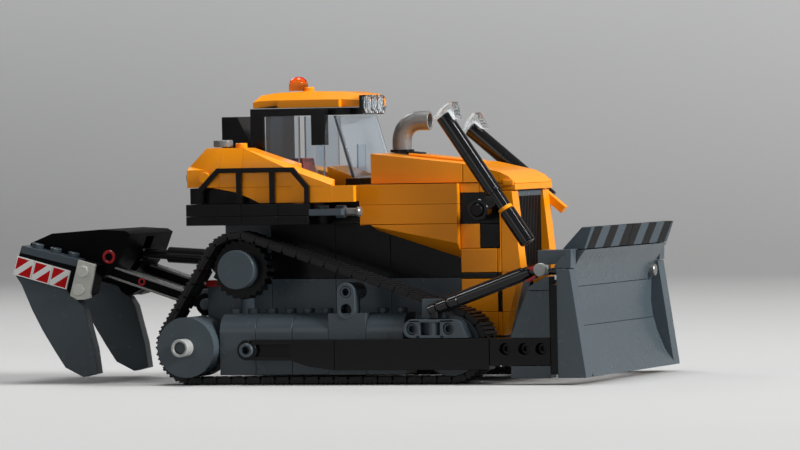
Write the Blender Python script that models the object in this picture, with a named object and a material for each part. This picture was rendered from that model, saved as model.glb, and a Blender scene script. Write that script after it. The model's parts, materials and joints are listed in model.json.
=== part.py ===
# Toy bulldozer built from bricks, modelled piece by piece.
# Lengths below are in millimetres and are turned into metres when a piece is made.
# X points forward to the blade, Y to the machine's left, Z up. The tracks stand on Z = 0.
import math

import bmesh
import bpy
from mathutils import Matrix, Vector

for old in list(bpy.data.objects):
    bpy.data.objects.remove(old, do_unlink=True)

MM = 0.001
SEG = 24

# Stud pitch of the brick system, from which most sizes follow
PITCH = 8.0
GAP = 0.3
PIN_R = 2.4
PIN_PLAY = 0.3

# Track loop: three wheel centres, belt radii and lateral place
REAR_X = -44.0
FRONT_X = REAR_X + 14 * PITCH
SPROCKET_X = REAR_X + 20.0
SPROCKET_Z = 46.8
BELT_OUT_R = 15.5
BELT_THICK = 2.8
WHEEL_Z = BELT_OUT_R
BELT_Y0 = 35.5
BELT_Y1 = 50.8
WHEEL_R = BELT_OUT_R - BELT_THICK - 0.35
RAIL_Y0 = 35.0
RAIL_Y1 = 51.0
RAIL_TOP = 28.8
RAIL_BOTTOM = BELT_THICK + 1.2
RAIL_X0 = REAR_X + WHEEL_R + GAP
RAIL_END_ROOM = 7.8
RAIL_X1 = FRONT_X - WHEEL_R - RAIL_END_ROOM

# Body widths (halves) and heights
CORE_HALF = 19.7
HOOD_HALF = 3 * PITCH
PANEL_HALF = HOOD_HALF + 3.2
GRILLE_HALF = 2 * PITCH - GAP
ROOF_HALF = 2 * PITCH - 1.0
PLATFORM_HALF = 46.0
PLATFORM_Z0 = 64.8
PLATFORM_Z1 = 73.4
HOOD_Z = 80.6
CAB_FLOOR = PLATFORM_Z1 + GAP
CAB_TOP = 112.0
ROOF_TOP = 119.0
ROOF_EAVES = 115.6
ROOF_LEAN = 4.0
FENDER_WALL = 3.5
FENDER_SILL = 82.4
RAIL_HIGH = 87.1
FAR_FENDER_DROP = 7.6

# Blade and push arms
BLADE_HALF = 7 * PITCH
BLADE_END = 8 * PITCH
ARM_Y0 = RAIL_Y1 + GAP
ARM_Y1 = ARM_Y0 + 7.7
ARM_PIVOT_X = RAIL_X0 + 14.65
ARM_PIVOT_Z = 14.4
BLADE_BACK_X = REAR_X + 161.3

# Lift cylinders
LIFT_Y = 31.5
LIFT_PIN_X = REAR_X + 118.8
LIFT_PIN_Z = 69.6
LIFT_R = 3.3
LIFT_FAR_TURN = 15.9

# Ripper
RIP_X = REAR_X - 4.0
RIP_Z = 32.0
RIP_CYL_X = REAR_X - 5.0
RIP_CYL_Z = 50.5
RIP_EYE_X = REAR_X - 42.0
RIP_EYE_Z = 53.0


def material(name, colour, rough=0.4, alpha=1.0):
    mat = bpy.data.materials.new(name)
    mat.use_nodes = True
    shader = mat.node_tree.nodes["Principled BSDF"]
    shader.inputs["Base Color"].default_value = (colour[0], colour[1], colour[2], 1.0)
    shader.inputs["Roughness"].default_value = rough
    shader.inputs["Alpha"].default_value = alpha
    return mat


ORANGE = (0.95, 0.38, 0.03)
BLACK = (0.015, 0.015, 0.017)
DARK = (0.10, 0.11, 0.12)
LIGHT = (0.36, 0.38, 0.40)
CLEAR = (0.80, 0.88, 0.92)
RED = (0.45, 0.02, 0.02)


def mesh_of(verts, faces):
    bm = bmesh.new()
    made = [bm.verts.new(Vector(v) * MM) for v in verts]
    for face in faces:
        bm.faces.new([made[i] for i in face])
    bmesh.ops.recalc_face_normals(bm, faces=bm.faces)
    mesh = bpy.data.meshes.new("part")
    bm.to_mesh(mesh)
    bm.free()
    return mesh


def prism(points, y0, y1):
    """A side outline in X and Z pushed from y0 to y1."""
    n = len(points)
    verts = [(x, y0, z) for x, z in points] + [(x, y1, z) for x, z in points]
    faces = [list(range(n)), list(range(2 * n - 1, n - 1, -1))]
    for i in range(n):
        j = (i + 1) % n
        faces.append([i, j, n + j, n + i])
    return mesh_of(verts, faces)


def lofted(sections):
    """Side outlines at rising lateral places, with the same number of points each."""
    n = len(sections[0][1])
    verts = []
    for y, points in sections:
        verts += [(x, y, z) for x, z in points]
    last = n * (len(sections) - 1)
    faces = [list(range(n)), list(range(last + n - 1, last - 1, -1))]
    for k in range(len(sections) - 1):
        for i in range(n):
            j = (i + 1) % n
            a = k * n
            faces.append([a + i, a + j, a + n + j])
            faces.append([a + i, a + n + j, a + n + i])
    return mesh_of(verts, faces)


def box(x0, x1, y0, y1, z0, z1):
    return prism([(x0, z0), (x1, z0), (x1, z1), (x0, z1)], y0, y1)


def along_x(points, x0, x1):
    """A cross outline in Y and Z pushed from x0 to x1."""
    n = len(points)
    verts = [(x0, y, z) for y, z in points] + [(x1, y, z) for y, z in points]
    faces = [list(range(n)), list(range(2 * n - 1, n - 1, -1))]
    for i in range(n):
        j = (i + 1) % n
        faces.append([i, j, n + j, n + i])
    return mesh_of(verts, faces)


def arc(cx, cz, r, a0, a1, steps):
    out = []
    for k in range(steps + 1):
        a = math.radians(a0 + (a1 - a0) * k / steps)
        out.append((cx + r * math.cos(a), cz + r * math.sin(a)))
    return out


def rod(a, b, r, seg=SEG):
    """A round bar between two points."""
    start = Vector(a)
    way = Vector(b) - start
    turn = way.to_track_quat("Z", "Y")
    verts = []
    for end in (Vector((0, 0, 0)), way):
        for k in range(seg):
            t = 2 * math.pi * k / seg
            verts.append(start + end + turn @ Vector((r * math.cos(t), r * math.sin(t), 0)))
    faces = [list(range(seg)), list(range(2 * seg - 1, seg - 1, -1))]
    for k in range(seg):
        j = (k + 1) % seg
        faces.append([k, j, seg + j, seg + k])
    return mesh_of(verts, faces)


def turned(profile, cx, cz, seg=SEG, teeth=0, bite=0.0):
    """A profile of (radius, y) pairs turned about a Y axis through cx, cz."""
    verts = []
    rings = []
    for r, y in profile:
        if r < 1e-6:
            rings.append([len(verts)])
            verts.append((cx, y, cz))
            continue
        ring = []
        for k in range(seg):
            t = 2 * math.pi * k / seg
            radius = r
            if teeth and r > 11.0 and (k * teeth * 2 // seg) % 2:
                radius = r - bite
            ring.append(len(verts))
            verts.append((cx + radius * math.cos(t), y, cz + radius * math.sin(t)))
        rings.append(ring)
    faces = []
    for i in range(len(rings)):
        a = rings[i]
        b = rings[(i + 1) % len(rings)]
        if len(a) == 1 and len(b) == 1:
            continue
        for k in range(seg):
            j = (k + 1) % seg
            if len(a) == 1:
                faces.append([a[0], b[j], b[k]])
            elif len(b) == 1:
                faces.append([a[k], a[j], b[0]])
            else:
                faces.append([a[k], a[j], b[j], b[k]])
    return mesh_of(verts, faces)


def ring_loop(outer, inner, y0, y1):
    """A closed band between two outlines with the same number of points."""
    n = len(outer)
    verts = []
    for y in (y0, y1):
        verts += [(x, y, z) for x, z in outer]
        verts += [(x, y, z) for x, z in inner]
    faces = []
    for i in range(n):
        j = (i + 1) % n
        faces.append([i, j, n + j, n + i])
        faces.append([2 * n + i, 3 * n + i, 3 * n + j, 2 * n + j])
        faces.append([i, 2 * n + i, 2 * n + j, j])
        faces.append([n + i, n + j, 3 * n + j, 3 * n + i])
    return mesh_of(verts, faces)


def temp(mesh):
    obj = bpy.data.objects.new("temp", mesh)
    bpy.context.scene.collection.objects.link(obj)
    return obj


def piece(name, colour, adds, cuts=(), pivot=(0, 0, 0), turn=0.0, rough=0.4, alpha=1.0):
    """Join the added solids, take the cutters away and keep one named object."""
    base = temp(adds[0])
    helpers = []
    for kind, group in (("UNION", adds[1:]), ("DIFFERENCE", cuts)):
        for mesh in group:
            other = temp(mesh)
            other.hide_render = True
            other.display_type = "WIRE"
            helpers.append(other)
            mod = base.modifiers.new("join", "BOOLEAN")
            mod.operation = kind
            mod.solver = "EXACT"
            mod.object = other
    view = bpy.context.evaluated_depsgraph_get()
    mesh = bpy.data.meshes.new_from_object(base.evaluated_get(view))
    base.modifiers.clear()
    for other in helpers:
        bpy.data.objects.remove(other, do_unlink=True)
    bpy.data.objects.remove(base, do_unlink=True)
    bm = bmesh.new()
    bm.from_mesh(mesh)
    bmesh.ops.remove_doubles(bm, verts=bm.verts, dist=1e-6)
    bmesh.ops.dissolve_limit(bm, angle_limit=0.001, verts=bm.verts, edges=bm.edges)
    place = Vector(pivot) * MM
    if turn:
        spin = Matrix.Rotation(math.radians(turn), 4, "Y")
        shift = Matrix.Translation(place)
        bmesh.ops.transform(bm, matrix=shift @ spin @ shift.inverted(), verts=bm.verts)
    bmesh.ops.translate(bm, vec=-place, verts=bm.verts)
    bmesh.ops.recalc_face_normals(bm, faces=bm.faces)
    bm.to_mesh(mesh)
    bm.free()
    for face in mesh.polygons:
        face.use_smooth = True
    mesh.set_sharp_from_angle(angle=math.radians(30))
    mesh.name = name
    mesh.materials.clear()
    mesh.materials.append(material(name + "_mat", colour, rough, alpha))
    obj = bpy.data.objects.new(name, mesh)
    bpy.context.scene.collection.objects.link(obj)
    obj.location = place
    return obj


def both(low, high, side):
    """Lateral span on one side, in rising order."""
    if side > 0:
        return low, high
    return -high, -low


def shifted(points):
    return [(REAR_X + x, z) for x, z in points]


def bar(a, b, width):
    """A straight flat bar outline between two points."""
    dx = b[0] - a[0]
    dz = b[1] - a[1]
    length = math.hypot(dx, dz)
    nx = -dz / length * width / 2
    nz = dx / length * width / 2
    return [(a[0] + nx, a[1] + nz), (a[0] - nx, a[1] - nz), (b[0] - nx, b[1] - nz), (b[0] + nx, b[1] + nz)]


def band(path, width):
    """A flat band outline of even width that follows a bent path."""
    left = []
    right = []
    for i, (x, z) in enumerate(path):
        ways = []
        for j in (i - 1, i):
            if 0 <= j < len(path) - 1:
                way = Vector((path[j + 1][0] - path[j][0], path[j + 1][1] - path[j][1]))
                ways.append(way.normalized())
        along = sum(ways, Vector((0, 0))).normalized()
        reach = width / 2 / along.dot(ways[0])
        left.append((x - along.y * reach, z + along.x * reach))
        right.append((x + along.y * reach, z - along.x * reach))
    return left + right[::-1]


SIDES = (("R", -1), ("L", 1))

# Central frame: lower frame, body core, front core, lugs and trunnion pins
frame_adds = [
    box(REAR_X - 7, REAR_X + 107, -21, 21, 9, 26.5),
    box(REAR_X + 4, REAR_X + 106.7, -CORE_HALF, CORE_HALF, 25, PLATFORM_Z0 - GAP),
    box(REAR_X + 66, REAR_X + 110, -CORE_HALF, CORE_HALF, 60, HOOD_Z - GAP),
    box(REAR_X + 107.9, REAR_X + 124.3, -HOOD_HALF + 0.5, HOOD_HALF - 0.5, 54, HOOD_Z - GAP),
    box(REAR_X + 100, REAR_X + 124, -GRILLE_HALF, GRILLE_HALF, 9.5, 60),
    box(REAR_X + 40, REAR_X + 64, -RAIL_Y0 + GAP, RAIL_Y0 - GAP, 9.5, 20),
    box(REAR_X + 1.5, REAR_X + 16, -RAIL_Y0 + GAP, RAIL_Y0 - GAP, 22, 39.5),
    box(RIP_X - 5, REAR_X + 10, -16, -10, RIP_Z - 5, RIP_Z + 6),
    box(RIP_X - 5, REAR_X + 10, 10, 16, RIP_Z - 5, RIP_Z + 6),
    rod((RIP_X, -24, RIP_Z), (RIP_X, -12, RIP_Z), PIN_R),
    rod((RIP_X, 12, RIP_Z), (RIP_X, 24, RIP_Z), PIN_R),
    box(RIP_CYL_X - 3.5, REAR_X + 10, -7.5, -4.4, RIP_CYL_Z - 3.5, RIP_CYL_Z + 3.5),
    box(RIP_CYL_X - 3.5, REAR_X + 10, 4.4, 7.5, RIP_CYL_Z - 3.5, RIP_CYL_Z + 3.5),
    rod((RIP_CYL_X, -6, RIP_CYL_Z), (RIP_CYL_X, 6, RIP_CYL_Z), 1.8),
    rod((LIFT_PIN_X, -LIFT_Y - 4, LIFT_PIN_Z), (LIFT_PIN_X, LIFT_Y + 4, LIFT_PIN_Z), PIN_R),
]
axle_places = ((REAR_X, WHEEL_Z), (FRONT_X, WHEEL_Z), (SPROCKET_X, SPROCKET_Z))
frame_cuts = [rod((x, -40, z), (x, 40, z), PIN_R + PIN_PLAY) for x, z in axle_places]
piece("chassis_frame", DARK, frame_adds, frame_cuts)

# Axles, the rear one with its long bushes
BUSH_R = PIN_R + 1.3
IDLER_FACE = 57.0
BUSH_FACE = IDLER_FACE + 7.0
rear_axle = [(0, -BUSH_FACE), (BUSH_R, -BUSH_FACE), (BUSH_R, -IDLER_FACE - GAP), (PIN_R, -IDLER_FACE - GAP),
             (PIN_R, IDLER_FACE + GAP), (BUSH_R, IDLER_FACE + GAP), (BUSH_R, BUSH_FACE), (0, BUSH_FACE)]
piece("rear_axle", LIGHT, [turned(rear_axle, REAR_X, WHEEL_Z)])
piece("front_axle", DARK, [rod((FRONT_X, -50, WHEEL_Z), (FRONT_X, 50, WHEEL_Z), PIN_R)])
piece("sprocket_axle", DARK, [rod((SPROCKET_X, -45.6, SPROCKET_Z), (SPROCKET_X, 45.6, SPROCKET_Z), PIN_R)])


def loop_outline(radius):
    """Outline of a belt at one radius around the three wheels."""
    centres = [(REAR_X, WHEEL_Z), (FRONT_X, WHEEL_Z), (SPROCKET_X, SPROCKET_Z)]
    out = []
    for i in range(3):
        px, pz = centres[i - 1]
        cx, cz = centres[i]
        nx, nz = centres[(i + 1) % 3]
        a0 = math.degrees(math.atan2(cz - pz, cx - px)) - 90
        a1 = math.degrees(math.atan2(nz - cz, nx - cx)) - 90
        while a1 < a0:
            a1 += 360
        out += arc(cx, cz, radius, a0, a1, 10)
    return out


for tag, side in SIDES:
    y0, y1 = both(BELT_Y0, BELT_Y1, side)
    belt = ring_loop(loop_outline(BELT_OUT_R), loop_outline(BELT_OUT_R - BELT_THICK), y0, y1)
    piece("track_" + tag, BLACK, [belt], rough=0.6)
    bore = PIN_R + PIN_PLAY
    gear = [(0, side * 51.0), (8.0, side * 51.0), (8.0, side * 45.0), (WHEEL_R, side * 45.0),
            (WHEEL_R, side * 37.0), (bore, side * 37.0), (bore, side * 46.0), (0, side * 46.0)]
    piece("sprocket_" + tag, DARK, [turned(gear, SPROCKET_X, SPROCKET_Z, 48, 24, 1.3)],
          pivot=(SPROCKET_X, side * 41, SPROCKET_Z))
    wheel = [(bore, side * IDLER_FACE), (WHEEL_R, side * IDLER_FACE), (WHEEL_R, side * 37.0),
             (bore, side * 37.0)]
    piece("rear_idler_" + tag, DARK, [turned(wheel, REAR_X, WHEEL_Z, 32)],
          pivot=(REAR_X, side * 47, WHEEL_Z))
    wheel = [(bore, side * 50.4), (WHEEL_R, side * 50.4), (WHEEL_R, side * 37.0), (bore, side * 37.0)]
    piece("front_idler_" + tag, DARK, [turned(wheel, FRONT_X, WHEEL_Z, 32)],
          pivot=(FRONT_X, side * 44, WHEEL_Z))

# Track frames with rounded outer tops, one flat block and an upright beam
for tag, side in SIDES:
    round_top = [(side * y, z) for y, z in arc(RAIL_Y1 - PITCH, RAIL_TOP - PITCH, PITCH, 0, 90, 8)]
    outline = [(side * RAIL_Y0, RAIL_BOTTOM), (side * RAIL_Y1, RAIL_BOTTOM)] + round_top
    outline.append((side * RAIL_Y0, RAIL_TOP))
    y0, y1 = both(43.5, RAIL_Y1 - 0.05, side)
    x_mid = REAR_X + 67.5
    upright = [(x_mid + 3.7, 22)] + arc(x_mid, 37.6, 3.7, 0, 180, 10) + [(x_mid - 3.7, 22)]
    adds = [
        along_x(outline, RAIL_X0, RAIL_X1),
        box(REAR_X + 59.8, REAR_X + 75.8, y0, y1, 18, RAIL_TOP - 0.05),
        prism(upright, y0 + 0.02, y1 - 0.02),
    ]
    cuts = [
        rod((x_mid, side * 42, 37.4), (x_mid, side * 53, 37.4), PIN_R),
        rod((ARM_PIVOT_X, side * 41, ARM_PIVOT_Z), (ARM_PIVOT_X, side * 53, ARM_PIVOT_Z), PIN_R + PIN_PLAY),
    ]
    piece("track_frame_" + tag, DARK, adds, cuts)
    head = [(0, side * 41.3), (PIN_R, side * 41.3), (PIN_R, side * (ARM_Y1 + GAP)),
            (3.1, side * (ARM_Y1 + GAP)), (3.1, side * (ARM_Y1 + 1.3)), (0, side * (ARM_Y1 + 1.3))]
    piece("pivot_pin_" + tag, BLACK, [turned(head, ARM_PIVOT_X, ARM_PIVOT_Z)])

# Push arms with their brace brackets and slope bricks
for tag, side in SIDES:
    y0, y1 = both(ARM_Y0, ARM_Y1, side)
    rear_end = arc(ARM_PIVOT_X, ARM_PIVOT_Z, 4.2, 270, 90, 8)
    front = shifted([
        (94.5, 18.6), (94.5, 26.4), (121.5, 26.4), (121.5, 18.6), (139.8, 18.6), (147.4, 38.6),
        (155.0, 43.0), (156.7, 43.0), (156.7, 40.0), (161.0, 40.0), (161.0, 4.0), (156.7, 4.0),
        (156.7, 2.6), (140.0, 2.6), (140.0, 6.1), (65.0, 6.1), (65.0, 10.2),
    ])
    hole = rod((ARM_PIVOT_X, side * 48, ARM_PIVOT_Z), (ARM_PIVOT_X, side * 62, ARM_PIVOT_Z), PIN_R + PIN_PLAY)
    piece("push_arm_" + tag, BLACK, [prism(rear_end + front, y0, y1)], [hole],
          pivot=(ARM_PIVOT_X, 0, ARM_PIVOT_Z))
    mid = side * (ARM_Y0 + ARM_Y1) / 2
    brace = [
        rod((REAR_X + 107.0, mid, 26.4 + GAP), (REAR_X + 107.0, mid, 31), 2.0),
        rod((REAR_X + 104.6, mid, 29.7), (REAR_X + 147.5, mid, 45.0), 2.9),
        rod((REAR_X + 145.0, mid, 45.0), (REAR_X + 161.0, mid, 45.0), 1.4, 16),
    ]
    piece("brace_" + tag, BLACK, brace, pivot=(ARM_PIVOT_X, 0, ARM_PIVOT_Z))

# Blade: concave mouldboard, spill guard and end plates
mould = shifted([
    (171.0, 53.5), (168.2, 49.8), (165.8, 45.6), (164.1, 39.3), (163.7, 29.5), (164.4, 23.9), (166.1, 17.5),
    (169.4, 9.5), (174.0, 3.0), (170.5, 3.0), (166.5, 8.0), (163.8, 14.0), (162.2, 20.0), (161.5, 26.0),
    (161.3, 32.0), (161.3, 39.3), (162.0, 46.0), (164.0, 53.5),
])
lift_pivot = (ARM_PIVOT_X, 0, ARM_PIVOT_Z)
piece("blade", DARK, [prism(mould, -BLADE_HALF + GAP, BLADE_HALF - GAP)], pivot=lift_pivot)
guard = shifted([(161.5, 53.8), (170.8, 53.8), (174.0, 62.5), (169.8, 62.5)])
piece("spill_guard", DARK, [prism(guard, -BLADE_HALF, BLADE_HALF)], pivot=lift_pivot)
end_plate = shifted([(161.3, 46.2), (166.9, 46.1), (173.2, 2.9), (161.3, 2.9)])
for tag, side in SIDES:
    y0, y1 = both(BLADE_HALF, BLADE_END, side)
    piece("blade_end_" + tag, DARK, [prism(end_plate, y0, y1)], pivot=lift_pivot)

# Rear platform with steps, fenders, deck and tank cap
arch = [(-3.0, 80.3), (7.0, 80.3), (18.0, 78.2), (24.0, 75.9), (28.5, CAB_FLOOR)]
platform = [box(REAR_X - 3, REAR_X + 50.4, -PLATFORM_HALF, PLATFORM_HALF, PLATFORM_Z0, PLATFORM_Z1)]
platform.append(box(REAR_X + 45, REAR_X + 63, -CORE_HALF, CORE_HALF, PLATFORM_Z0 + 0.1, PLATFORM_Z1 - 0.1))
for tag, side in SIDES:
    y0, y1 = both(34.0, PLATFORM_HALF - 0.1, side)
    platform.append(box(REAR_X + 48, REAR_X + 64.4, y0, y1, 68.3, 70.9))
    platform.append(rod((REAR_X + 62, side * 40, 69.6), (REAR_X + 70.5, side * 40, 69.6), 1.6))
    y0, y1 = both(PANEL_HALF + 0.5, PLATFORM_HALF - 5.0, side)
    platform.append(prism(shifted([(x, z - GAP) for x, z in arch] + [(28.5, 72), (-3.0, 72)]), y0, y1))
piece("rear_platform", BLACK, platform)
ridge = [(-3.0, 88.9), (4.5, 96.4), (20.7, 96.2), (41.0, 89.4), (59.9, 82.8), (59.9, CAB_FLOOR)]
block = ridge[:3] + [(40.8, 89.5), (41.0, 89.4), (41.0, CAB_FLOOR)]
eaves = [(-3.0, 87.5), (4.5, 87.6), (20.7, 87.6), (41.0, 87.5), (59.9, 80.6), (59.9, CAB_FLOOR)]


def fender_line(points, side):
    """The far fender stands lower than the near one, but not below the sill."""
    drop = 0.0 if side < 0 else FAR_FENDER_DROP
    return shifted(arch[::-1] + [(x, max(z - drop, min(z, FENDER_SILL))) for x, z in points])


for tag, side in SIDES:
    y1 = PLATFORM_HALF - 2.0
    y0 = y1 - FENDER_WALL
    sections = [(PANEL_HALF + 0.4, block), (y0 - GAP, block), (y0, ridge), (y1, eaves)]
    sections = [(side * y, fender_line(points, side)) for y, points in sections]
    y0, y1 = both(y0 + 0.3, y1 - 0.05, side)
    skirt = box(REAR_X + 56.0, REAR_X + 69.2, y0, y1, CAB_FLOOR + 0.05, 80.3)
    piece("fender_" + tag, ORANGE, [lofted(sections), skirt])
    rail_top = RAIL_HIGH if side < 0 else RAIL_HIGH - FAR_FENDER_DROP
    drop = 8.5 if side < 0 else 3.0
    rail_path = shifted([
        (2.6, CAB_FLOOR), (2.6, rail_top - drop), (2.6 + drop, rail_top), (43.3, rail_top),
        (49.6, rail_top - drop + 1.4), (49.6, CAB_FLOOR),
    ])
    y0, y1 = both(PLATFORM_HALF - 1.7, PLATFORM_HALF, side)
    rail = [prism(band(rail_path, 2.0), y0, y1)]
    for x in (20.2, 34.6):
        rail.append(box(REAR_X + x - 1.1, REAR_X + x + 1.1, y0 + 0.03, y1 - 0.03, CAB_FLOOR, rail_top))
    piece("handrail_" + tag, BLACK, rail)
deck = [
    box(REAR_X - 3, REAR_X + 17.2, -PANEL_HALF, PANEL_HALF, CAB_FLOOR, 92),
    prism(shifted([(-0.2, 90), (13.5, 90), (12.4, 97), (6.7, 109), (-0.2, 109)]), -11, 11),
]
piece("rear_deck", BLACK, deck)
piece("tank_cap", LIGHT, [rod((REAR_X + 10.0, -35.8, 96.4 + GAP), (REAR_X + 10.0, -35.8, 99.6), 4.0)])

# Cab: frame, roof, glass, seat, lamps, beacon and mirrors
frame = [
    box(REAR_X + 17.5, REAR_X + 65, -HOOD_HALF, HOOD_HALF, CAB_FLOOR, 79.5),
    box(REAR_X + 17.5, REAR_X + 18.9, -HOOD_HALF, HOOD_HALF, 79, CAB_TOP),
    box(REAR_X + 17.6, REAR_X + 23.5, -HOOD_HALF, -HOOD_HALF + 8, 79.2, CAB_TOP - 0.2),
    box(REAR_X + 58.6, REAR_X + 65, -HOOD_HALF, HOOD_HALF, 79, 83),
    box(REAR_X + 17.5, REAR_X + 58, -HOOD_HALF, HOOD_HALF, 109, CAB_TOP),
    box(REAR_X + 50, REAR_X + 62, -ROOF_HALF, ROOF_HALF, 109.1, CAB_TOP - 0.1),
]
piece("cab_frame", BLACK, frame)
roof = shifted([
    (15.4, CAB_TOP + GAP), (15.4, 115.8), (17.6, 117.6), (24.0, ROOF_TOP - 0.5), (37.0, ROOF_TOP),
    (54.2, ROOF_TOP - 0.4), (62.0, 117.4), (62.0, CAB_TOP + GAP),
])
roof_eaves = shifted([
    (15.4, CAB_TOP + GAP), (15.4, ROOF_EAVES - 0.8), (17.6, ROOF_EAVES - 0.4), (24.0, ROOF_EAVES - 0.1),
    (37.0, ROOF_EAVES), (54.2, ROOF_EAVES - 0.1), (62.0, ROOF_EAVES - 0.6), (62.0, CAB_TOP + GAP),
])
roof_ridge = ROOF_HALF - ROOF_LEAN
roof_adds = [lofted([
    (-ROOF_HALF, roof_eaves), (-roof_ridge, roof), (roof_ridge, roof), (ROOF_HALF, roof_eaves),
])]
for tag, side in SIDES:
    y0, y1 = both(ROOF_HALF - 1.0, ROOF_HALF + 3.2, side)
    roof_adds.append(box(REAR_X + 27.3, REAR_X + 54.2, y0, y1, CAB_TOP + GAP + 0.02, ROOF_EAVES - 0.2))
piece("cab_roof", ORANGE, roof_adds)
pane = shifted([(53.7, 108.7), (55.6, 108.7), (63.2, 83.3), (61.3, 83.3)])
piece("windshield", CLEAR, [prism(pane, -HOOD_HALF + 0.1, HOOD_HALF - 0.1)], rough=0.05, alpha=0.4)
side_pane = shifted([(23.8, 79.8), (38.7, 79.8), (38.7, 108.7), (23.8, 108.7)])
for tag, side in SIDES:
    y0, y1 = both(HOOD_HALF - 1.6, HOOD_HALF - 0.1, side)
    piece("cab_glass_" + tag, CLEAR, [prism(side_pane, y0, y1)], rough=0.05, alpha=0.4)
mirror = [
    box(REAR_X + 46.6, REAR_X + 52.6, -31.0, -26.6, 96.8, 111.5),
    box(REAR_X + 48.4, REAR_X + 50.8, -27.0, -HOOD_HALF - GAP, 109.3, 111.3),
]
piece("mirror_R", BLACK, mirror)
seat = shifted([(31, 79.8), (45, 79.8), (45, 84), (35, 84), (33.5, 91.5), (29.5, 91.5)])
piece("seat", RED, [prism(seat, -7, 7)])
dome = [(0, 0.0), (4.0, 0.0), (4.0, 2.4), (3.4, 4.3), (2.0, 5.5), (0, 5.9)]
dome_mesh = turned([(r, h) for r, h in dome], 0, 0)
dome_mesh.transform(Matrix.Rotation(math.radians(90), 4, "X"))
dome_mesh.transform(Matrix.Translation(Vector((REAR_X + 30, 0, ROOF_TOP + GAP)) * MM))
piece("beacon", (0.9, 0.12, 0.01), [dome_mesh], rough=0.1)
lamps = [box(REAR_X + 62.3, REAR_X + 63.6, -16, 8, 109.6, 117.0)]
for y in (-12, -4, 4):
    lamps.append(rod((REAR_X + 62.5, y, 113.2), (REAR_X + 66.6, y, 113.2), 3.85))
piece("roof_lamps", CLEAR, lamps, rough=0.05, alpha=0.4)

# Hood, nose, side panels, front posts and grille
hood = shifted([(69.6, HOOD_Z), (69.6, 93), (109.1, 88.5), (109.1, HOOD_Z)])
piece("hood", ORANGE, [prism(hood, -HOOD_HALF, HOOD_HALF)])
nose = shifted([
    (109.4, HOOD_Z), (109.4, 88.4), (117.9, 86.4), (124.4, 85.0), (128.7, 82.9), (131.7, 80.0), (131.7, 77.3),
    (124.6, 77.3), (124.6, HOOD_Z),
])
piece("hood_nose", ORANGE, [prism(nose, -HOOD_HALF, HOOD_HALF)])
panel = shifted([(65.6, 80.3), (107.6, 80.3), (107.6, 49.7), (71.0, 61.4), (70.4, 63.8), (65.6, 63.8)])
panel_face = shifted([(65.6, 80.3), (107.6, 80.3), (107.6, 56.1), (71.0, 63.3), (70.4, 63.9), (65.6, 63.8)])
POST_FOOT = WHEEL_Z + PIN_R + PIN_PLAY + 0.2
post = shifted([
    (107.9, 53.7), (107.9, POST_FOOT + 11.9), (110.0, POST_FOOT), (126.0, POST_FOOT), (133.4, 46.0),
    (130.2, 77.0), (124.6, 77.0), (124.6, 53.7),
])
for tag, side in SIDES:
    y2, y3 = both(HOOD_HALF + GAP, PANEL_HALF - 0.02, side)
    sections = [(side * (CORE_HALF + GAP), panel), (side * PANEL_HALF, panel_face)]
    adds = [lofted(sections), box(REAR_X + 50.7, REAR_X + 67, y2, y3, CAB_FLOOR, 80.2)]
    piece("side_panel_" + tag, ORANGE, adds)
    y0, y1 = both(GRILLE_HALF + GAP, HOOD_HALF, side)
    adds = [prism(post, y0, y1)]
    if side > 0:
        flap = bar((REAR_X + 127.0, 76.0), (REAR_X + 136.5, 68.2), 3.2)
        adds.append(prism(flap, HOOD_HALF - 1, HOOD_HALF + 3))
    piece("nose_post_" + tag, ORANGE, adds)
piece("radiator_grille", BLACK, [box(REAR_X + 124.6, REAR_X + 129, -GRILLE_HALF, GRILLE_HALF, 46, 77)])

# Exhaust: round base on the sloping hood and a hollow elbow
EXH_X = REAR_X + 75.0
slope = (93.0 - 88.5) / (109.1 - 70.3)
base_rings = []
for k in range(SEG):
    t = 2 * math.pi * k / SEG
    base_rings.append((EXH_X + 5 * math.cos(t), 5 * math.sin(t)))
verts = [(x, y, 93.0 + GAP - slope * (x - REAR_X - 70.3)) for x, y in base_rings]
verts += [(x, y, 95.0) for x, y in base_rings]
faces = [list(range(SEG)), list(range(2 * SEG - 1, SEG - 1, -1))]
for k in range(SEG):
    j = (k + 1) % SEG
    faces.append([k, j, SEG + j, SEG + k])
piece("exhaust_base", BLACK, [mesh_of(verts, faces)])
path = [((EXH_X, 95.3), 90.0)]
for k in range(9):
    a = 180 - 90 * k / 8
    t = math.radians(a)
    path.append(((EXH_X + 8 + 8 * math.cos(t), 98 + 8 * math.sin(t)), a - 90))
path.append(((REAR_X + 87.4, 106.0), 0.0))
verts = []
for radius in (4.0, 3.0):
    for (x, z), heading in path:
        h = math.radians(heading)
        for k in range(16):
            t = 2 * math.pi * k / 16
            side_way = radius * math.cos(t)
            verts.append((x - math.sin(h) * side_way, radius * math.sin(t), z + math.cos(h) * side_way))
faces = []
n = len(path)
for layer in (0, 1):
    for i in range(n - 1):
        for k in range(16):
            j = (k + 1) % 16
            a = layer * n * 16 + i * 16
            faces.append([a + k, a + j, a + 16 + j, a + 16 + k])
for i in (0, n - 1):
    for k in range(16):
        j = (k + 1) % 16
        faces.append([i * 16 + k, i * 16 + j, (n + i) * 16 + j, (n + i) * 16 + k])
piece("exhaust_pipe", LIGHT, [mesh_of(verts, faces)], rough=0.25)

# Lift cylinders on trunnion pins, each with a clear wedge lamp at its top end
top = (REAR_X + 103.2, 109.0)
low = (REAR_X + 139.2, 56.0)
length = math.hypot(low[0] - top[0], low[1] - top[1])
ax, az = (top[0] - low[0]) / length, (top[1] - low[1]) / length
TUBE_END = -1.3
pin_foot = (LIFT_PIN_X - top[0]) * ax + (LIFT_PIN_Z - top[1]) * az


def on_tube(a, b):
    """A point a along the tube beyond its top end and b square to it, towards the front."""
    return (top[0] + ax * a + az * b, top[1] + az * a - ax * b)


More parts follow.
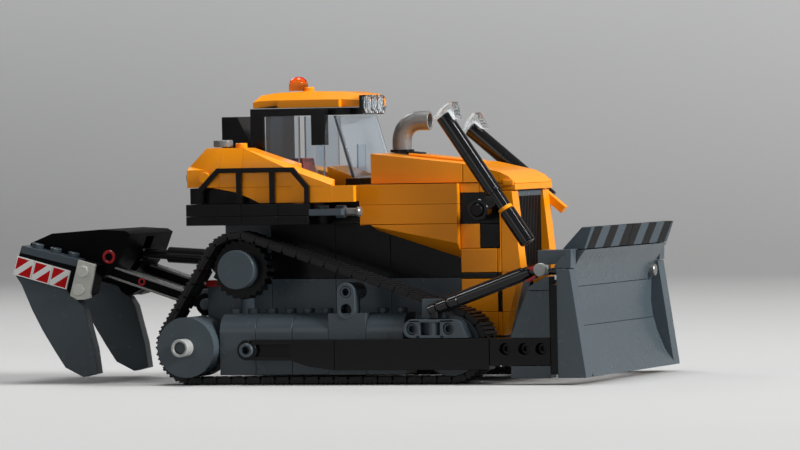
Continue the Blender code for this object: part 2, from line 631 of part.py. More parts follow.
for tag, side in SIDES:
    turn = 0.0 if side < 0 else -LIFT_FAR_TURN
    y = side * LIFT_Y
    foot = on_tube(pin_foot, 0)
    start = on_tube(TUBE_END, 0)
    end = low if side < 0 else on_tube(-47, 0)
    y0, y1 = both(LIFT_Y - 2.4, LIFT_Y + 2.4, side)
    pivot = (LIFT_PIN_X, y, LIFT_PIN_Z)
    adds = [
        rod((start[0], y, start[1]), (end[0], y, end[1]), LIFT_R),
        prism(bar((LIFT_PIN_X, LIFT_PIN_Z), foot, 5.0), y0, y1),
        rod((LIFT_PIN_X, y0 - 0.3, LIFT_PIN_Z), (LIFT_PIN_X, y1 + 0.3, LIFT_PIN_Z), 4.4),
    ]
    cut = rod((LIFT_PIN_X, y - 5, LIFT_PIN_Z), (LIFT_PIN_X, y + 5, LIFT_PIN_Z), PIN_R + PIN_PLAY)
    piece("lift_cylinder_" + tag, BLACK, adds, [cut], pivot=pivot, turn=turn)
    seat, front = TUBE_END + GAP, LIFT_R + 0.4
    wedge = [on_tube(a, b) for a, b in (
        (seat, -2.9), (seat + 0.8, -2.9), (1.1, 2.0), (1.2, 5.9), (0.4, 7.2), (-6.4, front + 0.8),
        (-6.2, front), (seat, front))]
    y0, y1 = both(LIFT_Y - 3.9, LIFT_Y + 3.9, side)
    piece("lift_lamp_" + tag, CLEAR, [prism(wedge, y0, y1)], pivot=pivot, turn=turn, rough=0.05, alpha=0.4)

# Ripper: swinging frame, two shanks and a cylinder with its rod
rip_pivot = (RIP_X, 0, RIP_Z)
carriage = shifted([
    (-83.4, 54.0), (-81.2, 58.2), (-71.7, 62.0), (-50.1, 63.4), (-38.9, 62.7), (-36.7, 61.4), (-40.0, 53.0),
    (-46.0, 45.0), (-52.0, 43.0), (-57.0, 47.0),
])
side_beam = shifted([
    (-82.0, 57.2), (-56.5, 51.1), (-48.5, 48.9), (-51.4, 37.0), (-57.3, 34.5), (-60.4, 36.2), (-62.1, 38.9),
    (-86.0, 45.4),
])
frame_adds = [prism(carriage, -24, 24)]
frame_cuts = [box(REAR_X - 58, REAR_X - 30, -4.4, 4.4, 38, 60)]
for tag, side in SIDES:
    y0, y1 = both(23.5, 32.0, side)
    frame_adds.append(prism(side_beam, y0, y1))
    y0, y1 = both(16.4, 22.6, side)
    frame_adds.append(prism(bar((RIP_X, RIP_Z), (REAR_X - 50.0, 47.2), 5.0), y0, y1))
    frame_adds.append(rod((RIP_X, y0 - 0.05, RIP_Z), (RIP_X, y1 + 0.05, RIP_Z), 4.6))
    frame_cuts.append(rod((RIP_X, y0 - 1, RIP_Z), (RIP_X, y1 + 1, RIP_Z), PIN_R + PIN_PLAY))
piece("ripper_frame", BLACK, frame_adds, frame_cuts, pivot=rip_pivot)
shank = shifted([
    (-85.6, 44.9), (-62.4, 38.5), (-60.6, 35.7), (-57.4, 34.0), (-55.0, 30.2), (-52.9, 21.9), (-50.9, 14.4),
    (-49.5, 4.0), (-56.0, 2.5), (-64.0, 6.5), (-68.8, 13.7), (-74.0, 22.1), (-78.4, 30.4), (-83.0, 41.0),
])
for tag, side in SIDES:
    y0, y1 = both(25.0, 31.0, side)
    piece("ripper_shank_" + tag, DARK, [prism(shank, y0, y1)], pivot=rip_pivot)
dx = RIP_EYE_X - RIP_CYL_X
dz = RIP_EYE_Z - RIP_CYL_Z
run = math.hypot(dx, dz)
ux, uz = dx / run, dz / run


def on_ram(t):
    return (RIP_CYL_X + ux * t, 0, RIP_CYL_Z + uz * t)


barrel = [rod(on_ram(0), on_ram(24), 3.3), rod((RIP_CYL_X, -4, RIP_CYL_Z), (RIP_CYL_X, 4, RIP_CYL_Z), 4.0)]
barrel_cuts = [
    rod((RIP_CYL_X, -6, RIP_CYL_Z), (RIP_CYL_X, 6, RIP_CYL_Z), 1.8 + PIN_PLAY),
    rod(on_ram(7), on_ram(30), 2.0 + PIN_PLAY),
]
piece("ripper_cylinder", BLACK, barrel, barrel_cuts, pivot=(RIP_CYL_X, 0, RIP_CYL_Z))
eye = on_ram(run)
ram = [rod(on_ram(15), on_ram(run - 1), 2.0), rod((eye[0], -4, eye[2]), (eye[0], 4, eye[2]), 3.2)]
piece("ripper_rod", LIGHT, ram, pivot=(RIP_CYL_X, 0, RIP_CYL_Z))
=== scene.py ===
# %% [markdown]
# # A brick-built toy bulldozer
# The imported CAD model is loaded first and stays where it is. Every piece below is built over it,
# in metres, and rides on one of its bodies, so that the blade, the cylinders and the ripper still move.
# Places are given in millimetres forward from the rear wheels' axle, because that is easy to measure.

# %% Load the frame
import json
import math

import bmesh
import bpy
from mathutils import Matrix, Vector


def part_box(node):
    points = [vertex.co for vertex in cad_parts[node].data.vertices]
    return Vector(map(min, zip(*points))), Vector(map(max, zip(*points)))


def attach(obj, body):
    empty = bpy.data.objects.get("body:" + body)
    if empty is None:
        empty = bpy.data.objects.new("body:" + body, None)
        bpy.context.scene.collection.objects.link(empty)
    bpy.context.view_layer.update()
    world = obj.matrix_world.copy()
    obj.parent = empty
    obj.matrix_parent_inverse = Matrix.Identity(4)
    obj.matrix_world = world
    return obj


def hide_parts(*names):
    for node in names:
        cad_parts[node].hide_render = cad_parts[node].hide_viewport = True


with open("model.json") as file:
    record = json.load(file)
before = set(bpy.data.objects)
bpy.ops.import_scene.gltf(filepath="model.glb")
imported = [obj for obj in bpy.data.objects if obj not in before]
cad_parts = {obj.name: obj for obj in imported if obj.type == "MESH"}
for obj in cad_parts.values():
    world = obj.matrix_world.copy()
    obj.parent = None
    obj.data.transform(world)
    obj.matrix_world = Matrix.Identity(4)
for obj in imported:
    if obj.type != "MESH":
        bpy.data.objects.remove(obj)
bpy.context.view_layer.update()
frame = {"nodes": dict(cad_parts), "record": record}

MM = 0.001
STUD_PITCH = 8 * MM
STUD_R = 2.4 * MM
STUD_H = 1.7 * MM
SIDES = (("R", -1), ("L", 1))

scene = bpy.context.scene
record = frame["record"]
body_of = {}
for body, nodes in record["behaviour"]["bodies"].items():
    for node in nodes:
        body_of[node] = body
joint_at = {}
for joint in record["behaviour"]["joints"]:
    if "pos_m" in joint:
        joint_at[joint["name"]] = Vector(joint["pos_m"])
REAR_X = joint_at["rear_spin_R"].x


def at(x_mm):
    """World X of a place measured forward from the rear idler axle, in millimetres."""
    return REAR_X + x_mm * MM


# %% [markdown]
# ## Camera
# The photo was taken with a long lens from the right side, a little from the front and almost level.
# A camera could be dragged into place by eye. Here it is placed by its turn, tilt and roll about the point
# that it looks at, because each of these can then be changed by itself.

# %% Camera
PHOTO_W = 800
FOCAL_PX = 6000.0
SCALE_PX_PER_M = 2430.0
SENSOR = 36.0
YAW, TILT, ROLL = (math.radians(a) for a in (19.5, 1.0, 1.1))
aim = Vector((at(73.37), 0.0, 63.24 * MM))
forward = Vector((-math.sin(YAW) * math.cos(TILT), math.cos(YAW) * math.cos(TILT), -math.sin(TILT)))
right = Vector((math.cos(YAW), math.sin(YAW), 0.0))
up = right.cross(forward)
rolled_right = right * math.cos(ROLL) - up * math.sin(ROLL)
rolled_up = right * math.sin(ROLL) + up * math.cos(ROLL)
camera_data = bpy.data.cameras.new("camera")
camera_data.sensor_width = SENSOR
camera_data.lens = SENSOR * FOCAL_PX / PHOTO_W
camera_data.clip_end = 20.0
camera = bpy.data.objects.new("camera", camera_data)
scene.collection.objects.link(camera)
turn = Matrix((rolled_right, rolled_up, -forward)).transposed().to_4x4()
camera.matrix_world = Matrix.Translation(aim - forward * (FOCAL_PX / SCALE_PX_PER_M)) @ turn
scene.camera = camera
print("camera lens", round(camera_data.lens), "mm")

# %% [markdown]
# ## Shader helpers
# A material is a tree of nodes. It could be wired by hand in the shader editor, but a script can't show that
# to a reader. So each kind of node that is used often gets one short function here.

# %% Shader helpers


def link(tree, a, b):
    tree.links.new(a, b)


def noise(tree, place, scale, detail):
    node = tree.nodes.new("ShaderNodeTexNoise")
    node.inputs["Scale"].default_value = scale
    node.inputs["Detail"].default_value = detail
    link(tree, place.outputs["Object"], node.inputs["Vector"])
    return node.outputs["Fac"]


def remap(tree, value, low, high, to_low, to_high):
    node = tree.nodes.new("ShaderNodeMapRange")
    for name, number in zip(("From Min", "From Max", "To Min", "To Max"), (low, high, to_low, to_high)):
        node.inputs[name].default_value = number
    link(tree, value, node.inputs["Value"])
    return node.outputs["Result"]


def blend_colours(tree, factor, first, second):
    node = tree.nodes.new("ShaderNodeMix")
    node.data_type = "RGBA"
    link(tree, factor, node.inputs["Factor"])
    for name, colour in (("A", first), ("B", second)):
        if isinstance(colour, tuple):
            node.inputs[name].default_value = (*colour, 1.0)
        else:
            link(tree, colour, node.inputs[name])
    return node.outputs["Result"]


def calculate(tree, operation, first, second=0.0):
    node = tree.nodes.new("ShaderNodeMath")
    node.operation = operation
    for socket, value in zip(node.inputs, (first, second)):
        if isinstance(value, float):
            socket.default_value = value
        else:
            link(tree, value, socket)
    return node.outputs["Value"]


def shader_of(mat):
    return mat.node_tree.nodes["Principled BSDF"]


print("shader helpers ready")

# %% [markdown]
# ## Moulded plastic
# Toy bricks are glossy moulded plastic. Up close it is never one flat colour: the gloss changes a little,
# fine scratches catch the light, and dust settles low down. Painted images could show this, but noise on
# Object coordinates needs no file and no unwrapping, and fits a piece of any size.

# %% Plastic finishes
DUST = (0.26, 0.25, 0.23)
JET = (0.0058, 0.0058, 0.0066)
BLUISH_GREY = (0.060, 0.079, 0.093)
CLOUD, WEAR, GRAIN = (38.0, 3.0), (210.0, 4.0), (1500.0, 2.0)
GRAIN_STRENGTH, GRAIN_DEEP = 0.02, 0.0001


def plastic(name, colour, rough=0.22, dust=0.0, dust_top=0.05):
    mat = bpy.data.materials.new(name)
    mat.use_nodes = True
    tree = mat.node_tree
    shader = shader_of(mat)
    place = tree.nodes.new("ShaderNodeTexCoord")
    cloud = noise(tree, place, *CLOUD)
    grain = noise(tree, place, *GRAIN)
    wear = noise(tree, place, *WEAR)
    deep = tuple(c * 0.95 for c in colour)
    bright = tuple(min(1.0, c * 1.05) for c in colour)
    result = blend_colours(tree, cloud, deep, bright)
    if dust:
        split = tree.nodes.new("ShaderNodeSeparateXYZ")
        link(tree, place.outputs["Object"], split.inputs["Vector"])
        low = remap(tree, split.outputs["Z"], dust_top, 0.0, 0.0, dust)
        result = blend_colours(tree, calculate(tree, "MULTIPLY", low, wear), result, DUST)
    link(tree, result, shader.inputs["Base Color"])
    link(tree, remap(tree, wear, 0.3, 0.75, rough * 0.9, rough * 1.15), shader.inputs["Roughness"])
    bump = tree.nodes.new("ShaderNodeBump")
    bump.inputs["Strength"].default_value = GRAIN_STRENGTH
    bump.inputs["Distance"].default_value = GRAIN_DEEP
    link(tree, grain, bump.inputs["Height"])
    link(tree, bump.outputs["Normal"], shader.inputs["Normal"])
    return mat


ORANGE = plastic("warm_orange_plastic", (0.91, 0.298, 0.005), 0.21)
BLACK = plastic("black_plastic", JET, 0.17)
DARK = plastic("dark_grey_plastic", BLUISH_GREY, 0.25, dust=0.05)
LIGHT = plastic("light_grey_plastic", (0.36, 0.37, 0.36), 0.24)
TREAD = plastic("track_plastic", (0.0075, 0.0075, 0.0082), 0.36, dust=0.08, dust_top=0.03)
RED = plastic("red_plastic", (0.42, 0.010, 0.010), 0.22)
SEAT_RED = plastic("dark_red_plastic", (0.24, 0.016, 0.010), 0.28)
PALE = plastic("pale_grey_plastic", (0.58, 0.58, 0.53), 0.3)
SILVER = plastic("silver_plastic", (0.19, 0.19, 0.186), 0.28)
PEARL = plastic("pearl_grey_plastic", (0.21, 0.21, 0.205), 0.26)
MATT = plastic("matt_black_plastic", JET, 0.42)
GLOSS = plastic("glossy_black_plastic", JET, 0.13)
# A bright bluish colour used as painted highlight: the lines along the pane edges and the cups behind the
# roof lamp lenses.
PAINTED_HIGHLIGHT = plastic("painted_highlight", (0.40, 0.45, 0.52), 0.15)
METAL = {SILVER: 0.2, PEARL: 0.45}
SHINE = {ORANGE: 0.28, BLACK: 0.26, TREAD: 0.3, DARK: 0.38, MATT: 0.02, GLOSS: 0.5}
for mat, share in METAL.items():
    shader_of(mat).inputs["Metallic"].default_value = share
for mat, level in SHINE.items():
    shader_of(mat).inputs["Specular IOR Level"].default_value = level

# %% [markdown]
# ## Clear plastic and hazard stripes
# Windows and lamps are clear plastic: light passes, the edges stay bright. The hazard stripes are printed
# on tiles, so they are a pattern across one flat tile and come from a sawtooth along a diagonal. They could
# also be thin coloured slabs, but a pattern leaves the tile in one piece and its stripes sharp.

# %% Clear and striped finishes
LETS_THROUGH = 0.96
PRINT_SHINE = 0.03


def clear(name, tint, rough, ior):
    mat = plastic(name, tint, rough)
    shader = shader_of(mat)
    shader.inputs["Transmission Weight"].default_value = LETS_THROUGH
    shader.inputs["IOR"].default_value = ior
    return mat


def measure(tree, direction, start):
    """How far a place lies along a direction, counted from a start."""
    place = [n for n in tree.nodes if n.bl_idname == "ShaderNodeTexCoord"][0]
    dot = tree.nodes.new("ShaderNodeVectorMath")
    dot.operation = "DOT_PRODUCT"
    dot.inputs[1].default_value = direction
    link(tree, place.outputs["Object"], dot.inputs[0])
    return calculate(tree, "ADD", dot.outputs["Value"], start)


def printed(mat, factor, colour):
    """Lay a printed colour over a finish where the factor is one."""
    tree = mat.node_tree
    shader = shader_of(mat)
    shader.inputs["Specular IOR Level"].default_value = PRINT_SHINE
    old = shader.inputs["Base Color"].links[0].from_socket
    link(tree, blend_colours(tree, factor, old, colour), shader.inputs["Base Color"])
    return mat


STRIPE = 21.4 * MM
STRIPE_START = 0.03
STRIPE_LEAN = 0.2
STRIPE_FOOT = 58 * MM


def striped_guard():
    """Grey with dark bands across, the same from the middle out to both ends."""
    mat = plastic("striped_guard", BLUISH_GREY, 0.3)
    tree = mat.node_tree
    along = measure(tree, Vector((0, 1, -STRIPE_LEAN)) / STRIPE, STRIPE_LEAN * STRIPE_FOOT / STRIPE)
    out = calculate(tree, "ADD", calculate(tree, "ABSOLUTE", along), STRIPE_START)
    factor = calculate(tree, "LESS_THAN", calculate(tree, "FRACT", out), 0.5)
    return printed(mat, factor, (0.006, 0.006, 0.0065))


LEAN = math.radians(15.3)
TILE_MM = 8.25
TILE = TILE_MM * MM
TILE_CORNER = (-86.0, 45.4)
TILE_START = Vector((at(TILE_CORNER[0]), 0, TILE_CORNER[1] * MM))
TILE_BAND = 0.2
TILE_FRAME = 0.43


def hazard_tile():
    """Red tiles in a row, each with a white frame and one white band from corner to corner."""
    mat = plastic("red_white_tile", (0.50, 0.010, 0.012), 0.24)
    tree = mat.node_tree
    ahead = Vector((math.cos(LEAN), 0, -math.sin(LEAN))) / TILE
    rise = Vector((math.sin(LEAN), 0, math.cos(LEAN))) / TILE
    across = calculate(tree, "FRACT", measure(tree, ahead, -ahead.dot(TILE_START)))
    upward = measure(tree, rise, -rise.dot(TILE_START))
    gap = calculate(tree, "ABSOLUTE", calculate(tree, "SUBTRACT", across, upward))
    factor = calculate(tree, "LESS_THAN", gap, TILE_BAND)
    for value, centre in ((across, 0.5), (upward, 0.485)):
        edge = calculate(tree, "ABSOLUTE", calculate(tree, "SUBTRACT", value, centre))
        factor = calculate(tree, "MAXIMUM", factor, calculate(tree, "GREATER_THAN", edge, TILE_FRAME))
    return printed(mat, factor, (0.78, 0.78, 0.76))


CLEAR = clear("clear_plastic", (0.90, 0.94, 0.97), 0.02, 1.45)
WINDOW = clear("window_plastic", (0.80, 0.88, 0.96), 0.02, 1.16)
AMBER = clear("amber_clear_plastic", (0.99, 0.20, 0.018), 0.04, 1.40)
GUARD = striped_guard()
HAZARD = hazard_tile()
print("clear and striped finishes ready")

# %% [markdown]
# ## Bricks out of the solids
# A node of the CAD model is one plain solid, but the toy is many bricks. A copy of the solid is sliced at
# the seams with a hair of a gap, and each brick gets the small rounded edge that moulding leaves. Bricks
# could be modelled one by one, but slicing keeps each outer face where the CAD model has it.

# %% Cutting and rounding
SEAM = 0.05 * MM
EDGE = 0.28 * MM
SOFT = 0.3 * MM
EDGE_STEPS = 2
SHARP, ROUND_SHARP = 28, 40
FLAT = 0.02


def copy_of(node):
    bm = bmesh.new()
    bm.from_mesh(frame["nodes"][node].data)
    bmesh.ops.remove_doubles(bm, verts=bm.verts, dist=1e-6)
    bmesh.ops.dissolve_limit(bm, angle_limit=FLAT, verts=bm.verts, edges=bm.edges)
    return bm


def half(bm, axis, place, keep_high):
    """Keep one side of a plane and close the cut."""
    out = bm.copy()
    normal = Vector((0, 0, 0))
    normal["xyz".index(axis)] = 1.0
    whole = out.verts[:] + out.edges[:] + out.faces[:]
    cut = bmesh.ops.bisect_plane(out, geom=whole, plane_co=normal * place, plane_no=normal, dist=1e-7,
                                 clear_inner=keep_high, clear_outer=not keep_high)
    rim = [e for e in cut["geom_cut"] if isinstance(e, bmesh.types.BMEdge)]
    if rim:
        bmesh.ops.triangle_fill(out, edges=rim, use_beauty=True)
    bmesh.ops.dissolve_limit(out, angle_limit=FLAT, verts=out.verts, edges=out.edges)
    bmesh.ops.recalc_face_normals(out, faces=out.faces)
    return out


def sliced(blocks, axis, places):
    """Cut a list of blocks at each place along one axis."""
    for place in places:
        parts = []
        for bm in blocks:
            values = [v.co["xyz".index(axis)] for v in bm.verts]
            if not values:
                continue
            if min(values) > place - 2 * SEAM or max(values) < place + 2 * SEAM:
                parts.append(bm)
                continue
            parts.append(half(bm, axis, place - SEAM, False))
            parts.append(half(bm, axis, place + SEAM, True))
            bm.free()
        blocks = parts
    return blocks


def inside(bm, axis, low, high):
    return half(half(bm, axis, low, True), axis, high, False)


def rounded(bm, width=EDGE, angle=SHARP):
    """Soften each edge that turns by more than an angle in degrees."""
    sharp = [e for e in bm.edges if e.is_manifold and e.calc_face_angle(0.0) > math.radians(angle)]
    if sharp and width:
        bmesh.ops.bevel(bm, geom=sharp, offset=width, offset_type="OFFSET", segments=EDGE_STEPS,
                        profile=0.5, affect="EDGES", clamp_overlap=True)
    return bm


print("cutting and rounding ready")

# %% [markdown]
# ## Finished pieces
# Blocks that share a finish and a body become one object. Blender shades rounded edges so that flat faces
# look bulged. More edge loops would help, but a Weighted Normal modifier is lighter, and its result is kept
# as a plain mesh. The last lines say which body carries the piece and which node it stands for.

# %% Finished pieces
CREASE, STUD_CREASE = math.radians(38), math.radians(35)
FLAT_WEIGHT = 90


def settled(obj, finish):
    """Turn what an object's modifiers make into its plain mesh, with one finish."""
    view = bpy.context.evaluated_depsgraph_get()
    made = bpy.data.meshes.new_from_object(obj.evaluated_get(view))
    old = obj.data
    obj.modifiers.clear()
    obj.data = made
    bpy.data.meshes.remove(old)
    made.name = obj.name
    made.materials.clear()
    made.materials.append(finish)
    for face in made.polygons:
        face.material_index = 0
    return made


def carried(obj, body, stands_for):
    """Say which body carries a piece and which node it stands for."""
    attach(obj, body)
    if stands_for:
        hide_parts(*stands_for)


def piece(name, blocks, finish, body, stands_for=()):
    """Join finished blocks into one object that rides on a body, with flat faces kept flat in the light."""
    mesh = bpy.data.meshes.new(name)
    whole = bmesh.new()
    for bm in blocks:
        part = bpy.data.meshes.new("part")
        bm.to_mesh(part)
        whole.from_mesh(part)
        bm.free()
        bpy.data.meshes.remove(part)
    whole.to_mesh(mesh)
    whole.free()
    for face in mesh.polygons:
        face.use_smooth = True
    mesh.set_sharp_from_angle(angle=CREASE)
    obj = bpy.data.objects.new(name, mesh)
    scene.collection.objects.link(obj)
    even = obj.modifiers.new("even_light", "WEIGHTED_NORMAL")
    even.keep_sharp = True
    even.weight = FLAT_WEIGHT
    settled(obj, finish)
    carried(obj, body, stands_for)


def brick(node, finish, seams=(), width=EDGE):
    """A node as moulded bricks, sliced at its seams."""
    blocks = [copy_of(node)]
    for axis, places in seams:
        blocks = sliced(blocks, axis, places)
    for bm in blocks:
        rounded(bm, width)
    piece(node + "_bricks", blocks, finish, body_of[node], [node])


print("finished pieces ready")

# %% [markdown]
# ## Side outlines and turned forms
# Most small bricks are a side outline with some width, and most pins look turned on a lathe. Both could be
# cubes and cylinders with modifiers on them. Points give the right shape and the soft edge in one step.

# %% Side outlines and turned forms
ROUND_SIDES = 28


def block(low, high):
    """A rounded box between two corners."""
    bm = bmesh.new()
    bmesh.ops.create_cube(bm, size=1.0)
    low, high = Vector(low), Vector(high)
    for v in bm.verts:
        v.co = Vector([(low[i] + high[i]) / 2 + v.co[i] * (high[i] - low[i]) for i in range(3)])
    return rounded(bm)


def outline(points, y0, y1, width=EDGE):
    """A rounded side outline in X and Z between two lateral places."""
    bm = bmesh.new()
    near = [bm.verts.new((x, y0, z)) for x, z in points]
    far = [bm.verts.new((x, y1, z)) for x, z in points]
    bm.faces.new(near)
    bm.faces.new(far[::-1])
    for i in range(len(points)):
        j = (i + 1) % len(points)
        bm.faces.new((near[i], near[j], far[j], far[i]))
    bmesh.ops.recalc_face_normals(bm, faces=bm.faces)
    return rounded(bm, width)


def rect(x0, z0, x1, z1):
    return [(x0, z0), (x1, z0), (x1, z1), (x0, z1)]


def slab(points, side, y0, y1, width=EDGE):
    """A side outline on one side of the machine, all in millimetres."""
    return outline(mm(points), *two(side, y0, y1), width)


def lathe(start, end, profile):
    """A turned form: (distance, radius) pairs along the way from start to end."""
    start, end = Vector(start), Vector(end)
    turn = (end - start).to_track_quat("Z", "Y")
    bm = bmesh.new()
    rings = []
    closed = profile[0] == profile[-1]
    for d, r in profile[:-1] if closed else profile:
        if r < 1e-7:
            rings.append([bm.verts.new(start + turn @ Vector((0, 0, d)))])
            continue
        loop = []
        for k in range(ROUND_SIDES):
            a = 2 * math.pi * k / ROUND_SIDES
            loop.append(bm.verts.new(start + turn @ Vector((r * math.cos(a), r * math.sin(a), d))))
        rings.append(loop)
    for a, b in zip(rings, rings[1:] + rings[:1] if closed else rings[1:]):
        for k in range(ROUND_SIDES):
            j = (k + 1) % ROUND_SIDES
            if len(a) == 1 and len(b) == 1:
                continue
            if len(a) == 1:
                bm.faces.new((a[0], b[k], b[j]))
            elif len(b) == 1:
                bm.faces.new((a[k], b[0], a[j]))
            else:
                bm.faces.new((a[k], b[k], b[j], a[j]))
    bmesh.ops.recalc_face_normals(bm, faces=bm.faces)
    return bm


def turned(start, end, steps):
    """A turned form from distances and radii in millimetres."""
    return lathe(start, end, [(d * MM, r * MM) for d, r in steps])


def barrel(start, end, r, soft=SOFT, bore=0.0, deep=0.0):
    """A round bar with softened ends, and a blind bore in its far end when asked."""
    length = (Vector(end) - Vector(start)).length
    profile = [(0, 0), (0, r - soft), (soft, r), (length - soft, r), (length, r - soft)]
    if bore:
        profile += [(length, bore), (length - deep, bore), (length - deep, 0)]
    else:
        profile += [(length, 0)]
    return lathe(start, end, profile)


def ring(x, z, side, y0, y1, outer, inner):
    """An open ring about a lateral axis."""
    deep = y1 - y0
    profile = [(0, inner), (0, outer - SOFT), (SOFT, outer), (deep - SOFT, outer), (deep, outer - SOFT),
               (deep, inner + SOFT), (deep - SOFT, inner), (0, inner)]
    return lathe((x, side * y0, z), (x, side * y1, z), profile)


def pin(x, z, side, y0, y1, r, bore=0.0, deep=0.0):
    """A lateral pin that points outwards, hollow at its outer end when asked."""
    return barrel((x, side * y0, z), (x, side * y1, z), r, bore=bore, deep=deep)


print("outlines and turned forms ready")

# %% [markdown]
# ## Plates with holes, and places
# Beams of this toy have round holes. A Boolean cutter could make them, but filling a flat outline round its
# holes gives cleaner faces. The last helpers turn millimetres on the machine into places in the scene.

# %% Plates and places
HOLE_SIDES, ARC_SIDES = 20, 9


def circle(x, z, r):
    ways = [2 * math.pi * k / HOLE_SIDES for k in range(HOLE_SIDES)]
    return [(x + r * math.cos(a), z + r * math.sin(a)) for a in ways]


def arc(x, z, r, start, end):
    ways = [math.radians(start + (end - start) * k / ARC_SIDES) for k in range(ARC_SIDES + 1)]
    return [(x + r * math.cos(a), z + r * math.sin(a)) for a in ways]


def plate(points, holes, side, y0, y1):
    """A flat plate with round holes through it."""
    bm = bmesh.new()
    loops = [points] + [circle(x, z, r) for x, z, r in holes]
    painted_rim_highlights = []
    for y in (side * y0, side * y1):
        edges = []
        rows = []
        for loop in loops:
            row = [bm.verts.new((x, y, z)) for x, z in loop]
            edges += [bm.edges.new((row[k - 1], row[k])) for k in range(len(row))]
            rows.append(row)
        bmesh.ops.triangle_fill(bm, edges=edges, use_beauty=True)
        painted_rim_highlights.append(rows)
    for near, far in zip(*painted_rim_highlights):
        for k in range(len(near)):
            bm.faces.new((near[k - 1], near[k], far[k], far[k - 1]))
    bmesh.ops.dissolve_limit(bm, angle_limit=0.01, verts=bm.verts, edges=bm.edges)
    bmesh.ops.recalc_face_normals(bm, faces=bm.faces)
    return rounded(bm, EDGE, ROUND_SHARP)


def strip(a, b, width, offset=0.0):
    """Side outline of a straight bar between two points."""
    way = Vector((b[0] - a[0], b[1] - a[1])).normalized()
    out = Vector((-way.y, way.x))
    high, low = out * (offset + width / 2), out * (offset - width / 2)
    return [(a[0] + high.x, a[1] + high.y), (a[0] + low.x, a[1] + low.y), (b[0] + low.x, b[1] + low.y),
            (b[0] + high.x, b[1] + high.y)]


def mm(points):
    """Machine places in millimetres, forward and up, as world places."""
    return [(at(x), z * MM) for x, z in points]


def two(side, y0, y1):
    """Lateral span on one side in rising order, from millimetres."""
    return sorted((side * y0 * MM, side * y1 * MM))


def middle(bm):
    """Centre of a block's bounding box, forward in mm from the rear axle, lateral mm and height mm."""
    low = [min(v.co[i] for v in bm.verts) for i in range(3)]
    high = [max(v.co[i] for v in bm.verts) for i in range(3)]
    x, y, z = ((a + b) / 2 / MM for a, b in zip(low, high))
    return x - REAR_X / MM, y, z


print("plates and places ready")

# %% [markdown]
# ## Studs
# Studs repeat on almost every brick. One Geometry Nodes tree puts a stud with a softened rim on each point
# of a small point mesh. An Array modifier makes rows too, but points can lie anywhere. The stud's size and
# its turn are inputs of the tree.

# %% Stud tree
STUD_SIDES = 20
STUD_RIM = 0.2 * MM


def new_tree(name, inputs):
    tree = bpy.data.node_groups.new(name, "GeometryNodeTree")
    tree.is_modifier = True
    tree.interface.new_socket("Geometry", in_out="INPUT", socket_type="NodeSocketGeometry")
    names = {}
    for label, kind in inputs:
        names[label] = tree.interface.new_socket(label, in_out="INPUT", socket_type=kind).identifier
    tree.interface.new_socket("Geometry", in_out="OUTPUT", socket_type="NodeSocketGeometry")
    return tree, names, tree.nodes.new("NodeGroupInput"), tree.nodes.new("NodeGroupOutput")


def end_tree(tree, geometry, group_in, group_out):
    real = tree.nodes.new("GeometryNodeRealizeInstances")
    paint = tree.nodes.new("GeometryNodeSetMaterial")
    link(tree, geometry, real.inputs["Geometry"])
    link(tree, real.outputs["Geometry"], paint.inputs["Geometry"])
    link(tree, group_in.outputs["Finish"], paint.inputs["Material"])
    link(tree, paint.outputs["Geometry"], group_out.inputs["Geometry"])


def stud_tree():
    wanted = [("Radius", "NodeSocketFloat"), ("Rim", "NodeSocketFloat"), ("Height", "NodeSocketFloat"),
              ("Turn", "NodeSocketRotation"), ("Finish", "NodeSocketMaterial")]
    tree, names, group_in, group_out = new_tree("studs_on_points", wanted)
    wall = tree.nodes.new("GeometryNodeMeshCone")
    wall.inputs["Vertices"].default_value = STUD_SIDES
    link(tree, group_in.outputs["Radius"], wall.inputs["Radius Top"])
    link(tree, group_in.outputs["Radius"], wall.inputs["Radius Bottom"])
    link(tree, group_in.outputs["Height"], wall.inputs["Depth"])
    rim = tree.nodes.new("GeometryNodeMeshCone")
    rim.inputs["Vertices"].default_value = STUD_SIDES
    rim.inputs["Depth"].default_value = STUD_RIM
    link(tree, group_in.outputs["Rim"], rim.inputs["Radius Top"])
    link(tree, group_in.outputs["Radius"], rim.inputs["Radius Bottom"])
    lift = tree.nodes.new("GeometryNodeTransform")
    spot = tree.nodes.new("ShaderNodeCombineXYZ")
    link(tree, group_in.outputs["Height"], spot.inputs["Z"])
    link(tree, rim.outputs["Mesh"], lift.inputs["Geometry"])
    link(tree, spot.outputs["Vector"], lift.inputs["Translation"])
    both = tree.nodes.new("GeometryNodeJoinGeometry")
    link(tree, wall.outputs["Mesh"], both.inputs["Geometry"])
    link(tree, lift.outputs["Geometry"], both.inputs["Geometry"])
    place = tree.nodes.new("GeometryNodeInstanceOnPoints")
    link(tree, group_in.outputs["Geometry"], place.inputs["Points"])
    link(tree, both.outputs["Geometry"], place.inputs["Instance"])
    link(tree, group_in.outputs["Turn"], place.inputs["Rotation"])
    end_tree(tree, place.outputs["Instances"], group_in, group_out)
    return tree, names


STUD_TREE, STUD_INPUTS = stud_tree()


def grown(name, points, tree, values, finish, body, stands_for=(), turns=None):
    """Run a tree on a point mesh and keep the result as a plain mesh piece."""
    mesh = bpy.data.meshes.new(name)
    mesh.from_pydata([tuple(p) for p in points], [], [])
    if turns:
        headings = mesh.attributes.new("turn", "FLOAT_VECTOR", "POINT")
        for i, t in enumerate(turns):
            headings.data[i].vector = t
    obj = bpy.data.objects.new(name, mesh)
    scene.collection.objects.link(obj)
    mod = obj.modifiers.new("grow", "NODES")
    mod.node_group = tree
    for key, value in values.items():
        mod[key] = value
    made = settled(obj, finish)
    for face in made.polygons:
        face.use_smooth = True
    made.set_sharp_from_angle(angle=STUD_CREASE)
    carried(obj, body, stands_for)
    print(name, len(made.polygons), "faces")


TURN_UP = (0.0, 0.0, 0.0)
TURN_NEAR = (math.radians(90), 0.0, 0.0)
TURN_FAR = (math.radians(-90), 0.0, 0.0)
TURN_BACK = (0.0, math.radians(-90), 0.0)


